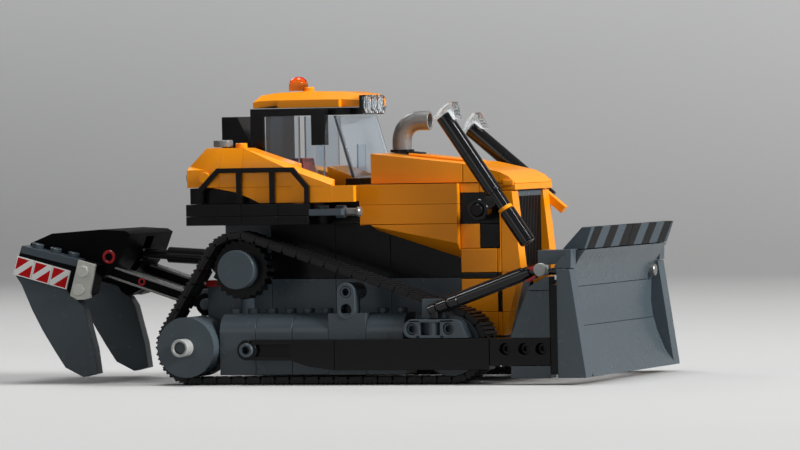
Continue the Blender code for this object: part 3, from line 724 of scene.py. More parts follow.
def studs(name, points, finish, body, turn=TURN_UP, height=STUD_H):
    names = STUD_INPUTS
    values = {names["Radius"]: STUD_R, names["Rim"]: STUD_R - STUD_RIM, names["Height"]: height,
              names["Turn"]: turn, names["Finish"]: finish}
    grown(name, points, STUD_TREE, values, finish, body)


print("stud tree ready")

# %% [markdown]
# ## Track links
# Each belt is a chain of short moulded links with three ribs across the outside and guide lugs inside.
# The links sit along the line that a belt takes round the three wheels, so the path is worked out from the
# wheel centres and a tree puts one link on each point. A Curve modifier could lay a long chain round the
# wheels too, but it would bend each link, and real links are stiff.

# %% Track link tree
LINK_COUNT = 53
LINK_THICK = 1.5 * MM
RIB_HIGH = 0.6 * MM
BEND_STEPS = 40


def cube_at(tree, size, spot):
    cube = tree.nodes.new("GeometryNodeMeshCube")
    cube.inputs["Size"].default_value = size
    move = tree.nodes.new("GeometryNodeTransform")
    move.inputs["Translation"].default_value = spot
    link(tree, cube.outputs["Mesh"], move.inputs["Geometry"])
    return move.outputs["Geometry"]


def track_tree(width, pitch):
    wanted = [("Finish", "NodeSocketMaterial")]
    tree, names, group_in, group_out = new_tree("track_links", wanted)
    rib = (pitch * 0.13, width * 0.985, RIB_HIGH)
    shapes = [((pitch * 0.95, width * 0.985, LINK_THICK), (0, 0, 0))]
    shapes += [(rib, (pitch * k * 0.31, 0, (LINK_THICK + RIB_HIGH) * 0.49)) for k in (-1, 0, 1)]
    guide = (pitch * 0.82, 1.3 * MM, 1.0 * MM)
    shapes += [(guide, (0, width * k, -LINK_THICK * 0.75)) for k in (-0.42, 0, 0.42)]
    knuckle = (pitch * 0.3, width * 0.2, LINK_THICK * 0.8)
    shapes += [(knuckle, (pitch * 0.45, width * k, 0)) for k in (-0.25, 0.25)]
    both = tree.nodes.new("GeometryNodeJoinGeometry")
    for size, spot in shapes:
        link(tree, cube_at(tree, size, spot), both.inputs["Geometry"])
    turn = tree.nodes.new("GeometryNodeInputNamedAttribute")
    turn.data_type = "FLOAT_VECTOR"
    turn.inputs["Name"].default_value = "turn"
    place = tree.nodes.new("GeometryNodeInstanceOnPoints")
    euler = tree.nodes.new("FunctionNodeEulerToRotation")
    link(tree, turn.outputs["Attribute"], euler.inputs["Euler"])
    link(tree, group_in.outputs["Geometry"], place.inputs["Points"])
    link(tree, both.outputs["Geometry"], place.inputs["Instance"])
    link(tree, euler.outputs["Rotation"], place.inputs["Rotation"])
    end_tree(tree, place.outputs["Instances"], group_in, group_out)
    return tree, names


def belt_path(centres, radius, count):
    """Even places and headings along a belt round three wheels."""
    line = []
    for i in range(3):
        before, here, after = centres[i - 1], centres[i], centres[(i + 1) % 3]
        a0 = math.atan2(here.z - before.z, here.x - before.x) - math.pi / 2
        a1 = math.atan2(after.z - here.z, after.x - here.x) - math.pi / 2
        while a1 < a0:
            a1 += 2 * math.pi
        for k in range(BEND_STEPS + 1):
            a = a0 + (a1 - a0) * k / BEND_STEPS
            line.append(Vector((here.x + radius * math.cos(a), 0, here.z + radius * math.sin(a))))
    line.append(line[0])
    total = sum((b - a).length for a, b in zip(line, line[1:]))
    places = []
    travelled = 0.0
    k = 0
    for a, b in zip(line, line[1:]):
        step = (b - a).length
        while k < count and k * total / count <= travelled + step and step > 0:
            t = (k * total / count - travelled) / step
            places.append((a.lerp(b, t), (b - a).normalized()))
            k += 1
        travelled += step
    return places, total


print("track link tree ready")

# %% [markdown]
# ## Belts round the wheels
# The belt lies on three wheels, with the sprocket on top. Its length is shared out evenly, and each point
# keeps the heading of the line, so that its link lies along it. Links could be set by hand, but then a new
# wheel size would mean to start again. Both sides take the same steps, so one loop makes them.

# %% Track belts
for tag, side in SIDES:
    low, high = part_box("track_" + tag)
    centres = [joint_at[wheel + "_spin_" + tag] for wheel in ("rear", "front", "sprocket")]
    outer = centres[0].z - low[2]
    mid = outer - RIB_HIGH - LINK_THICK / 2
    places, total = belt_path(centres, mid, LINK_COUNT)
    tree, names = track_tree(high[1] - low[1], total / LINK_COUNT)
    y_mid = (low[1] + high[1]) / 2
    points = [Vector((p.x, y_mid, p.z)) for p, way in places]
    turns = [(0.0, math.atan2(way.z, -way.x), 0.0) for p, way in places]
    values = {names["Finish"]: TREAD}
    grown("track_belt_" + tag, points, tree, values, TREAD, "machine", ["track_" + tag], turns)
print("link pitch", round(total / LINK_COUNT / MM, 2), "mm")

# %% [markdown]
# ## Wheels
# The raised sprocket drives the belt with its teeth and shows a plain round cap. The rear idler is a wide
# disc on an axle that ends in a light, hollow bush. The wheels are copies of the CAD solids with softened
# edges. Only the sprocket is cut, because its cap has another colour than its teeth.

# %% Wheels
CAP_DEEP = 5.9 * MM
BUSH_IN, BUSH_OUT = 57.3 * MM, 64 * MM
BUSH_R, BUSH_BORE = 3.7 * MM, 2.5 * MM
AXLE_HALF, AXLE_R = 62.6 * MM, 2.4 * MM
for tag, side in SIDES:
    node = "sprocket_" + tag
    low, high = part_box(node)
    cap_y = side * (max(abs(low[1]), abs(high[1])) - CAP_DEEP)
    parts = sliced([copy_of(node)], "y", [cap_y])
    cap = [b for b in parts if side * middle(b)[1] * MM > side * cap_y]
    gear = [b for b in parts if side * middle(b)[1] * MM < side * cap_y]
    gear = [rounded(b, 0.3 * MM, ROUND_SHARP) for b in gear]
    cap = [rounded(b, 0.5 * MM, ROUND_SHARP) for b in cap]
    piece(node + "_gear", gear, BLACK, body_of[node], [node])
    piece(node + "_cap", cap, DARK, body_of[node])
    for wheel in ("rear_idler_", "front_idler_"):
        node = wheel + tag
        disc = rounded(copy_of(node), 0.45 * MM, ROUND_SHARP)
        piece(node + "_wheel", [disc], DARK, body_of[node], [node])
    hub = joint_at["rear_spin_" + tag]
    bush = ring(hub.x, hub.z, side, BUSH_IN, BUSH_OUT, BUSH_R, BUSH_BORE)
    piece("rear_bush_" + tag, [bush], LIGHT, "machine")
hub = joint_at["rear_spin_R"]
axle = barrel((hub.x, -AXLE_HALF, hub.z), (hub.x, AXLE_HALF, hub.z), AXLE_R)
piece("rear_axle_bar", [axle], DARK, "machine", ["rear_axle"])
for name in ("front_axle", "sprocket_axle"):
    bar = rounded(copy_of(name), 0.2 * MM, ROUND_SHARP)
    piece(name + "_bar", [bar], DARK, "machine", [name])
print("wheels and axles done")

# %% [markdown]
# ## Track frames
# Five bricks in a row make each frame, rounded on their outer top edge. One brick is flat and carries an
# upright beam with two holes. A hollow pin sits in the upper hole and a bush behind it. An Array of one brick
# could make the row, but the CAD solid already has the rounded edge, so it is cut at the seams.

# %% Track frames
RAIL_TOP = 28.8 * MM
RAIL_STUD_Y = 39 * MM
BARE_STUDS = (6, 7)
POST_X = at(67.5)
POST_HIGH, POST_LOW = 37.4 * MM, 30.1 * MM
POST_R, HOLE_R, PEG_R = 3.85 * MM, 2.45 * MM, 2.4 * MM
POST_IN = 43 * MM
for tag, side in SIDES:
    node = "track_frame_" + tag
    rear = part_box(node)[0][0]
    rail = half(copy_of(node), "z", RAIL_TOP - 0.03 * MM, False)
    blocks = sliced([rail], "x", [at(28.2), at(44.0), at(59.8), at(75.8)])
    piece(node + "_bricks", [rounded(b) for b in blocks], DARK, "machine", [node])
    places = [rear + (k + 0.32) * STUD_PITCH for k in range(10) if k not in BARE_STUDS]
    points = [(x, side * RAIL_STUD_Y, RAIL_TOP) for x in places]
    studs("track_frame_studs_" + tag, points, DARK, "machine")
    beam = arc(POST_X, POST_HIGH, POST_R, 0, 180) + arc(POST_X, POST_LOW, POST_R, 180, 360)
    holes = [(POST_X, POST_HIGH, HOLE_R), (POST_X, POST_LOW, HOLE_R)]
    upright = [plate(beam, holes, side, 44 * MM, 51.3 * MM)]
    upright.append(pin(POST_X, POST_HIGH, side, 35 * MM, 43.8 * MM, 3.6 * MM))
    piece("upright_" + tag, upright, DARK, "machine")
    hollow = pin(POST_X, POST_HIGH, side, POST_IN, 51.2 * MM, PEG_R, 1.55 * MM, 5 * MM)
    piece("upright_pin_" + tag, [hollow], DARK, "machine")
    bottom = pin(POST_X, POST_LOW, side, POST_IN, 47 * MM, PEG_R)
    piece("upright_hole_" + tag, [bottom], BLACK, "machine")
print("track frames done")

# %% [markdown]
# ## Push arms
# A black beam runs from the rear pin to the blade. Its rear end is a thin web between two rims. Grey bricks
# sit on it: a bracket with two round eyes for the brace, and the slopes behind the blade. Cuts alone don't
# give the web and its rims, so the arm is drawn anew from side outlines, in the solid's place.

# %% Push arms
ARM_IN, ARM_OUT = 51.4, 59.0
ARM_LOW, ARM_TOP = 6.1, 18.6
WEB_OUT, WEB_END = 56.6, 46.5
PEG_LOOSE = 0.05 * MM
EYE_Z, EYE_R = 22.5 * MM, 2.45 * MM
for tag, side in SIDES:
    node = "push_arm_" + tag
    body = body_of[node]
    span = (side, ARM_IN, ARM_OUT)
    inner, outer = ARM_IN * MM, ARM_OUT * MM
    pivot = joint_at["blade_lift"]
    end_x = (pivot.x - REAR_X) / MM
    beam = [
        slab(rect(end_x + 3, 11.2, WEB_END, 17.2), side, ARM_IN, WEB_OUT),
        slab(rect(end_x + 1, 16.6, WEB_END, ARM_TOP), *span),
        slab(rect(end_x + 2, 10.2, WEB_END, 11.8), *span),
        slab([(46.0, 10.2), (54, 7.6), (65, ARM_LOW), (65, ARM_TOP), (46.0, ARM_TOP)], *span),
        slab(rect(65.1, ARM_LOW, 130.9, ARM_TOP), *span),
        slab(rect(156.8, 4.0, 161.0, 40.0), *span),
        ring(pivot.x, pivot.z, side, inner, outer, 4.2 * MM, 2.75 * MM),
    ]
    holes = [(at(x), 14.3 * MM, 2.4 * MM) for x in (137.6, 145.6, 152.8)]
    beam.append(plate(mm(rect(131.1, 7.6, 156.7, ARM_TOP)), holes, side, inner, outer))
    beam += [pin(x, z, side, inner, 56.4 * MM, r - PEG_LOOSE, 1.2 * MM, 2 * MM) for x, z, r in holes]
    piece(node + "_beam", beam, BLACK, body, [node])
    slopes = [
        slab(rect(140.0, 2.6, 156.7, 7.5), *span),
        slab([(139.9, 18.7), (156.7, 18.7), (156.7, 37.4), (147.0, 37.4)], *span),
        slab([(147.1, 37.6), (156.7, 37.6), (156.7, 43.0), (155.0, 43.0), (147.6, 38.8)], *span),
    ]
    piece(node + "_slopes", slopes, DARK, body)
    eyes = [(at(x), EYE_Z, EYE_R) for x in (98.2, 113.7)]
    rear_end = arc(at(98.2), EYE_Z, 3.7 * MM, 90, 270) + mm([(101.8, 18.8), (101.8, 26.2)])
    front_end = mm([(110.2, 26.2), (110.2, 18.8), (121.5, 18.8)])
    front_end += arc(at(116.2), 22.9 * MM, 3.4 * MM, 10, 90)
    mid_y = side * 56.6 * MM
    bracket = [
        plate(rear_end, eyes[:1], side, inner, outer),
        plate(front_end, eyes[1:], side, inner, outer),
        slab(rect(100, 18.8, 112, 20.0), *span),
        slab(rect(97, 25.1, 116, 26.3), *span),
        slab(rect(101, 19.5, 111, 25.5), side, ARM_IN, 54.6),
        barrel((at(107.0), mid_y, 19.6 * MM), (at(107.0), mid_y, 25.5 * MM), 2.3 * MM),
        slab(rect(100.7, 26.4, 110.6, 34.4), side, 51.5, 53.1),
    ]
    bracket += [pin(x, z, side, inner, 57.8 * MM, r - PEG_LOOSE, 1.5 * MM, 3 * MM) for x, z, r in eyes]
    piece(node + "_bracket", bracket, DARK, body)
    node = "pivot_pin_" + tag
    low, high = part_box(node)
    out = max(abs(low[1]), abs(high[1]))
    ends = [pin(pivot.x, pivot.z, side, 41.3 * MM, out, 2.9 * MM, 1.7 * MM, 5 * MM)]
    piece(node + "_hollow", ends, DARK, "machine", [node])
print("push arms done")

# %% [markdown]
# ## Brace struts
# A round strut ties the bracket on each arm to the top of the blade. Its rear end is ringed, and a red clip
# and a light pin hold its front end. Separate cylinders would leave seams between the rings, so one turned
# profile draws the whole strut.

# %% Brace struts
STRUT = [(0, 0), (0, 1.7), (0.5, 2.3), (3.4, 2.3), (3.8, 1.8), (4.2, 1.8), (4.6, 2.6), (8.6, 2.6),
         (9.0, 2.0), (9.5, 2.0), (9.9, 2.9), (13.4, 2.9), (13.6, 2.65), (14.0, 2.65), (14.2, 2.9),
         (42.5, 2.9), (43.6, 2.4), (45.6, 2.4), (45.6, 0)]
JAWS = ([(146.6, 46.4), (150.4, 47.6), (151.4, 46.6), (149.0, 45.2)],
        [(146.0, 41.6), (150.2, 43.6), (150.8, 42.6), (146.8, 40.6)])
JAW_HALF = 2 * MM
ROD_Z = 45 * MM
NUT_X, NUT_Z = at(152.6), 45.8 * MM
for tag, side in SIDES:
    node = "brace_" + tag
    body = body_of[node]
    low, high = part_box(node)
    y = (low[1] + high[1]) / 2
    start, end = (at(104.4), y, 29.6 * MM), (at(147.5), y, 45.0 * MM)
    foot = barrel((at(107.0), y, 26.6 * MM), (at(107.0), y, 31 * MM), 2.0 * MM)
    rod = barrel((at(147.0), y, ROD_Z), (at(161.0), y, ROD_Z), 1.4 * MM)
    piece(node + "_strut", [turned(start, end, STRUT), foot, rod], GLOSS, body, [node])
    clip = [outline(mm(jaw), y - JAW_HALF, y + JAW_HALF) for jaw in JAWS]
    piece(node + "_clip", clip, RED, body)
    nut = [barrel((NUT_X, y - side * 3 * MM, NUT_Z), (NUT_X, y + side * 3.6 * MM, NUT_Z), 2.6 * MM)]
    nut.append(barrel((at(150.0), y, 45.6 * MM), (at(155.6), y, 45.6 * MM), 2.2 * MM))
    piece(node + "_pin", nut, LIGHT, body)
print("brace struts done")

# %% [markdown]
# ## Blade
# Curved grey panels make the mouldboard, with two level seams. The spill guard leans forward on top and is
# covered by two tiles with dark diagonal stripes. Small stepped brackets stand on the end plates. The curve
# is in the CAD solid, so it is only cut at the seams. The brackets are small, so they are outlines here.

# %% Blade
brick("blade", DARK, [("z", [38.6 * MM, 22.8 * MM])])
brick("spill_guard", GUARD, [("y", [0.0])])
STEPS = [(160.4, 46.4), (160.4, 47.2), (162.2, 49.6), (163.4, 51.2), (164.9, 51.2), (164.8, 54.0),
         (167.6, 54.0), (167.3, 46.4)]
LUG = [(151.0, 47.8), (162.4, 47.8), (163.6, 53.5), (151.0, 53.5)]
BOLT_Y, BOLT_Z = 51.5 * MM, 42.4 * MM
for tag, side in SIDES:
    brick("blade_end_" + tag, DARK)
    piece("stepped_bracket_" + tag, [slab(STEPS, side, 57.0, 63.6)], DARK, "blade_set")
    piece("blade_lug_" + tag, [slab(LUG, side, 44.0, 55.7)], DARK, "blade_set")
bolt = barrel((at(164.6), BOLT_Y, BOLT_Z), (at(167.2), BOLT_Y, BOLT_Z), 2.5 * MM)
piece("blade_bolt", [bolt], PEARL, "blade_set")
print("blade done")

# %% [markdown]
# ## Hood, nose and side panels
# The warm orange bodywork is plain, so its seams and soft edges do the work. It could be sculpted or bent
# from one sheet, but the toy is stacked bricks, and cut solids show that best. The tile, the hatches and the
# clips are thin outlines laid on it.

# %% Hood and side panels
brick("hood", ORANGE)
brick("hood_nose", ORANGE, [("x", [at(124.6)]), ("z", [79.9 * MM])])
HOOD_TILE = [(80.4, 91.9), (108.4, 88.6), (108.4, 89.5), (80.4, 92.8)]
HATCH = [(72.0, 84.2), (85.4, 84.2), (85.4, 86.6), (72.0, 86.9)]
tile = outline(mm(HOOD_TILE), -STUD_PITCH, STUD_PITCH)
piece("hood_tile", [tile], ORANGE, "machine")
for tag, side in SIDES:
    brick("side_panel_" + tag, ORANGE, [("z", [72.1 * MM, 64.0 * MM]), ("x", [at(65.5)])])
    piece("hood_hatch_" + tag, [slab(HATCH, side, 23.6, 24.12, 0.1 * MM)], ORANGE, "machine")
    clip = slab(rect(126.4, 79.2, 130.9, 81.4), side, 23.0, 24.8)
    piece("nose_clip_" + tag, [clip], ORANGE, "machine")
    brick("handrail_" + tag, BLACK, width=0.35 * MM)
print("hood, nose and side panels done")

# %% [markdown]
# ## Front tower
# The tower under the nose is orange and black bricks in a stepped pattern. Two materials on one mesh would
# give the colours, but not the gaps between bricks. So the solids are cut at the seams, and each block gets
# its colour by where its middle lies.

# %% Front tower
GROOVE_X = (123.4, 125.2)
STRIPE_Z = (41.5, 44.0)
GROOVE_Z = (28.0, 54.0)
TOWER_REAR, TOWER_STEP = 107.8, 116.0
TOWER_FOOT, TOWER_BAND, TOWER_HEAD = 53.95, 63.8, 76.5
SHADE_REAR, SHADE_FOOT = 24.0, 42.0
for tag, side in SIDES:
    node = "nose_post_" + tag
    blocks = sliced([copy_of(node)], "x", [at(x) for x in GROOVE_X])
    blocks = sliced(blocks, "z", [STRIPE_Z[1] * MM, STRIPE_Z[0] * MM, GROOVE_Z[0] * MM])
    black, orange = [], []
    for b in blocks:
        x, y, z = middle(b)
        stripe = x < GROOVE_X[0] and STRIPE_Z[0] < z < STRIPE_Z[1]
        groove = GROOVE_X[0] < x < GROOVE_X[1] and GROOVE_Z[0] < z < GROOVE_Z[1]
        (black if stripe or groove else orange).append(rounded(b))
    piece(node + "_bricks", orange, ORANGE, "machine", [node])
    piece(node + "_stripes", black, BLACK, "machine")
blocks = sliced([copy_of("chassis_frame")], "x", [at(TOWER_REAR)])
front = [b for b in blocks if middle(b)[0] > TOWER_REAR]
core = [b for b in blocks if middle(b)[0] < TOWER_REAR]
front = sliced(front, "z", [TOWER_FOOT * MM, TOWER_BAND * MM])
tower = [b for b in front if middle(b)[2] > TOWER_FOOT]
core += [b for b in front if middle(b)[2] < TOWER_FOOT]
tower = sliced(tower, "x", [at(TOWER_STEP)])
tower = sliced(tower, "z", [TOWER_HEAD * MM])
orange, black = [], []
for b in tower:
    x, y, z = middle(b)
    (orange if z > TOWER_HEAD or x < TOWER_STEP and z < TOWER_BAND else black).append(b)
# The upper middle of the chassis core is made black as painted shade, for the shade that the fenders and
# tracks throw on it.
core = sliced(core, "x", [at(SHADE_REAR), at(52.0), at(76.0)])
core = sliced(core, "z", [SHADE_FOOT * MM])
painted_shade_blocks = [b for b in core if middle(b)[0] > SHADE_REAR and middle(b)[2] > SHADE_FOOT]
core = [b for b in core if b not in painted_shade_blocks]
piece("chassis_frame_core", [rounded(b, 0.2 * MM) for b in core], DARK, "machine", ["chassis_frame"])
piece("chassis_frame_painted_shade", [rounded(b, 0.2 * MM) for b in painted_shade_blocks], BLACK, "machine")
piece("tower_orange", [rounded(b) for b in orange], ORANGE, "machine")
piece("tower_black", [rounded(b) for b in black], BLACK, "machine")
for tag, side in SIDES:
    peg = joint_at["lift_swing_" + tag]
    end = pin(peg.x, peg.z, side, 30 * MM, 35.6 * MM, 2.45 * MM, 1.6 * MM, 3 * MM)
    piece("lift_peg_" + tag, [end], BLACK, "machine")
    y0, y1 = two(side, 29.0, 34.6)
    red = block((at(0.6), y0, 39.5 * MM), (at(7.4), y1, 42.2 * MM))
    piece("carrier_pin_" + tag, [red], RED, "machine")
print("tower done")

# %% [markdown]
# ## Grille
# The radiator sits between the posts under a grey strip, and many thin upright slats cover it. An Array
# modifier would do. A tree on points lets the slats fit the grille's own box, whatever its width.

# %% Grille
SLAT_COUNT = 16
SLAT_WIDE = 0.7 * MM


def slat_tree():
    wanted = [("Size", "NodeSocketVector"), ("Finish", "NodeSocketMaterial")]
    tree, names, group_in, group_out = new_tree("grille_slats", wanted)
    cube = tree.nodes.new("GeometryNodeMeshCube")
    link(tree, group_in.outputs["Size"], cube.inputs["Size"])
    place = tree.nodes.new("GeometryNodeInstanceOnPoints")
    link(tree, group_in.outputs["Geometry"], place.inputs["Points"])
    link(tree, cube.outputs["Mesh"], place.inputs["Instance"])
    end_tree(tree, place.outputs["Instances"], group_in, group_out)
    return tree, names


SLAT_TREE, SLAT_INPUTS = slat_tree()


def slats(name, points, size, finish, body):
    values = {SLAT_INPUTS["Size"]: size, SLAT_INPUTS["Finish"]: finish}
    grown(name, points, SLAT_TREE, values, finish, body)


low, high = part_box("radiator_grille")
wide = high[1] - low[1]
brick("radiator_grille", BLACK)
slat_x, slat_z = high[0] + 0.2 * MM, (low[2] + high[2]) / 2 - 1 * MM
points = [(slat_x, low[1] + (k + 0.5) * wide / SLAT_COUNT, slat_z) for k in range(SLAT_COUNT)]
slats("grille_slats", points, (SLAT_WIDE, SLAT_WIDE, (high[2] - low[2]) * 0.9), TREAD, "machine")
strip_low = (high[0] - 0.5 * MM, low[1], high[2] - 2.4 * MM)
strip_high = (high[0] + 0.7 * MM, high[1], high[2] - 0.1 * MM)
piece("grille_strip", [block(strip_low, strip_high)], DARK, "machine")
print("grille with", SLAT_COUNT, "slats done")

# %% [markdown]
# ## Platform and steps
# The platform is a black plate, with a grey step in front of it on each side that holds a light bar. One
# CAD solid holds all three. It is cut at the seams, and each block gets its colour by where its middle lies,
# which is simpler than modelling the plates again one by one.

# %% Platform and step
STEP_REAR, BAR_REAR = 50.45, 64.5
STEP_IN = 28.0
STEP_Y = 40 * MM
CLIP_Z, KNOB_Z = 69.7 * MM, 69.6 * MM
STEP_CLIP = [(0, 0), (0, 2.2), (0.4, 2.6), (3.8, 2.6), (4.2, 2.2), (4.2, 0)]
seams = [at(21.0), at(37.0), at(STEP_REAR), at(BAR_REAR)]
blocks = sliced([copy_of("rear_platform")], "x", seams)
blocks = sliced(blocks, "y", [-STEP_IN * MM, STEP_IN * MM])
blocks = sliced(blocks, "z", [68.5 * MM, 73.45 * MM])
groups = {"black": [], "dark": [], "light": []}
for b in blocks:
    x, y, z = middle(b)
    step = x > STEP_REAR and abs(y) > STEP_IN
    name = "light" if x > BAR_REAR else "dark" if step else "black"
    groups[name].append(rounded(b, 0.2 * MM))
piece("platform_plate", groups["black"], BLACK, "machine", ["rear_platform"])
piece("platform_steps", groups["dark"], DARK, "machine")
piece("step_bars", groups["light"], PEARL, "machine")
for tag, side in SIDES:
    y = side * STEP_Y
    clip = turned((at(60.2), y, CLIP_Z), (at(64.4), y, CLIP_Z), STEP_CLIP)
    piece("step_clip_" + tag, [clip], DARK, "machine")
    knob = barrel((at(69.0), y, KNOB_Z), (at(71.0), y, KNOB_Z), 2.1 * MM, 0.6 * MM)
    piece("step_knob_" + tag, [knob], PEARL, "machine")
    studs("step_studs_" + tag, [(at(54.5), y, 70.9 * MM)], DARK, "machine", height=1.2 * MM)
print("platform and steps done")

# %% [markdown]
# ## Fenders and rear deck
# The fenders are slope bricks with a leaning outer face and a curved opening below, and one carries a round
# cap. Their shapes could be drawn again, but the CAD solids have them, so these are cut into bricks and
# softened. The studs come from the same tree as all others, turned to the side or to the rear.

# %% Fenders and deck
for tag, side in SIDES:
    brick("fender_" + tag, ORANGE, [("x", [at(11.0), at(20.8)]), ("z", [80.2 * MM])])
studs("fender_side_stud", [(at(5.2), -44 * MM, 84.2 * MM)], ORANGE, "machine", TURN_NEAR)
studs("fender_back_stud", [(at(-3.0), -38 * MM, 84.5 * MM)], LIGHT, "machine", TURN_BACK)
cap_x, cap_y = (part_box("tank_cap")[0][i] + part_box("tank_cap")[1][i] for i in (0, 1))
studs("fender_top_stud", [(cap_x / 2 + STUD_PITCH, cap_y / 2, 96.3 * MM)], ORANGE, "machine")
cap = rounded(copy_of("tank_cap"), 0.45 * MM, ROUND_SHARP)
piece("tank_cap_round", [cap], SILVER, "machine", ["tank_cap"])
brick("rear_deck", BLACK, [("z", [92.0 * MM])])
print("fenders and deck done")

# %% [markdown]
# ## Cab
# A black frame with clear panes and an orange roof with a beacon. The seat and an orange console show through
# the panes. The bright lines that real panes have along their edges could come from bevels alone, but those
# are too small to catch a lamp from afar. So each line is a thin strip in a bright colour, a painted
# highlight.

# %% Cab
PAINTED_HIGHLIGHT_LINES = [((55.2, 108.5), (62.9, 83.4), 0.5), ((46.2, 79.8), (46.2, 96.4), 0.3),
              ((49.4, 79.8), (49.4, 96.4), 0.3), ((38.5, 79.9), (38.5, 108.6), 0.4),
              ((24.0, 79.9), (24.0, 108.6), 0.25)]
CONSOLE = [(46.3, 79.7), (61.0, 79.7), (61.0, 82.4), (60.1, 82.8), (46.3, 88.1)]
CONSOLE_HALF = 12 * MM
brick("cab_frame", BLACK, [("z", [79.45 * MM])])
brick("cab_roof", ORANGE)
brick("windshield", WINDOW, width=0.25 * MM)
for tag, side in SIDES:
    brick("cab_glass_" + tag, WINDOW, width=0.25 * MM)
    y0, y1 = two(side, 22.6, 23.8)
    post = block((at(46.0), y0, 79.8 * MM), (at(49.6), y1, 96.5 * MM))
    piece("cab_clear_post_" + tag, [post], WINDOW, "machine")
    # Thin strips in a bright colour along the pane edges: painted highlights.
    painted_pane_lines = [slab(strip(a, b, thick), side, 23.86, 23.98, 0.0) for a, b, thick in PAINTED_HIGHLIGHT_LINES]
    piece("painted_pane_highlights_" + tag, painted_pane_lines, PAINTED_HIGHLIGHT, "machine")
brick("mirror_R", BLACK)
brick("seat", SEAT_RED)
console = outline(mm(CONSOLE), -CONSOLE_HALF, CONSOLE_HALF)
piece("cab_console", [console], ORANGE, "machine")
piece("beacon_dome", [copy_of("beacon")], AMBER, "machine", ["beacon"])
studs("roof_stud", [(at(34.4), 0.0, 118.9 * MM)], ORANGE, "machine")

print("cab done")

# %% [markdown]
# ## Roof lamps
# Three clear round lamps sit on a black holder at the front of the roof. A sphere cut in half could stand
# for a lens, but a turned profile gives the rim and the hollow face in one go. Behind each lens sits a cup in
# a bright colour, a painted highlight for the light caught in the clear lens, so that it doesn't look like a
# hole.

# %% Roof lamps
LENS = [(0, 0), (0, 3.4), (0.4, 3.85), (1.7, 3.85), (2.1, 3.5), (2.1, 3.0), (1.5, 2.7), (1.1, 1.3), (1.0, 0)]
CUP = [(0, 0), (0, 3.0), (0.9, 3.2), (0.9, 2.9), (0.3, 1.0), (0.3, 0)]
CUP_FLAT = 0.55
LAMP_Z = 113.2 * MM
holder = inside(copy_of("roof_lamps"), "x", at(62.0), at(63.5))
piece("lamp_holder", [rounded(holder)], BLACK, "machine", ["roof_lamps"])
lenses, painted_cup_highlights = [], []
for y in (-12.0, -4.6, 2.8):
    end = (at(66.4), y * MM, LAMP_Z)
    lenses.append(turned((at(64.1), y * MM, LAMP_Z), end, LENS))
    painted_cup_highlights.append(turned((at(63.55), y * MM, LAMP_Z), end, [(d * CUP_FLAT, r) for d, r in CUP]))
piece("roof_lamp_lenses", lenses, CLEAR, "machine")
# The cups carry a painted highlight: a bright colour that stands in for the light caught in the lenses.
piece("roof_lamp_painted_highlights", painted_cup_highlights, PAINTED_HIGHLIGHT, "machine")
print(len(lenses), "roof lamps done")

# %% [markdown]
# ## Exhaust
# A silver grey bent pipe stands on a black round base with a small clip plate in front. The bend could be a
# curve with a round bevel, but the CAD solid has it already, so it is copied and softened. The pipe turns on
# its base, so its foot ring belongs to the pipe.

# %% Exhaust
BASE_TOP = 94.3 * MM
FOOT_TOP = 95.4 * MM
FOOT = [(0, 3.1), (0, 4.0), (1.05, 4.0), (1.05, 3.1), (0, 3.1)]
CLIP_PLATE = [(78.6, 92.2), (84.2, 91.6), (84.2, 93.0), (78.6, 93.6)]
base = half(copy_of("exhaust_base"), "z", BASE_TOP, False)
base = rounded(base, 0.2 * MM, ROUND_SHARP)
piece("exhaust_base_round", [base], BLACK, "machine", ["exhaust_base"])
clip = outline(mm(CLIP_PLATE), -STUD_PITCH / 2, STUD_PITCH / 2)
piece("exhaust_clip", [clip], BLACK, "machine")
pipe = joint_at["exhaust_turn"]
foot = turned((pipe.x, pipe.y, BASE_TOP + SEAM), (pipe.x, pipe.y, FOOT_TOP), FOOT)
elbow = rounded(copy_of("exhaust_pipe"), 0.2 * MM, 50)
piece("exhaust_elbow", [elbow, foot], SILVER, "exhaust", ["exhaust_pipe"])
print("exhaust done")

# %% [markdown]
# ## Lift cylinders
# Each swings on a side peg. A thick tube, a thinner neck, an orange band and a lower tube follow each other
# on one line. The left one is shorter and ends after its neck. The tubes could be stacked cylinders turned to
# the right angle. Turned profiles between two places need no angles, and the left one is the same line swung
# about its peg.

# %% Lift cylinders
TUBE_TOP, TUBE_LOW = Vector((103.2, 0, 109.0)), Vector((139.2, 0, 56.0))
TUBE_Y = 31.5 * MM
FAR_TURN = math.radians(15.9)
UPPER = [(0, 0), (0, 2.6), (0.5, 3.3), (18.8, 3.3), (18.9, 3.15), (19.1, 3.15), (19.2, 3.3), (36.8, 3.3),
         (37.0, 3.5), (38.1, 3.5), (38.3, 2.9), (45.2, 2.9), (45.5, 2.6), (45.5, 0)]
LOWER = [(0, 0), (0, 2.8), (0.4, 3.3), (15.4, 3.3), (15.8, 2.9), (15.8, 1.8), (12.0, 1.8), (12.0, 0)]
BAND = [(0, 0), (0, 2.9), (0.2, 3.1), (1.3, 3.1), (1.5, 2.9), (1.5, 0)]
ARM_ALONG = -41.36
WEDGE_RISE, WEDGE_LONG = 7.2 - 4.5, 6.8


def on_tube(tag, a, b=0.0):
    """World X and Z of a place along a lift cylinder's line and square to it, in millimetres."""
    along = (TUBE_TOP - TUBE_LOW).normalized()
    spot = TUBE_TOP + along * a + Vector((along.z, 0, -along.x)) * b
    spot = Vector((at(spot.x), 0, spot.z * MM))
    if tag == "L":
        peg = joint_at["lift_swing_L"].copy()
        peg.y = 0
        spot = peg + Matrix.Rotation(-FAR_TURN, 3, "Y") @ (spot - peg)
    return spot.x, spot.z


def along_tube(tag, side, a, b, steps):
    x0, z0 = on_tube(tag, a)
    x1, z1 = on_tube(tag, b)
    y = side * TUBE_Y
    return turned((x0, y, z0), (x1, y, z1), steps)


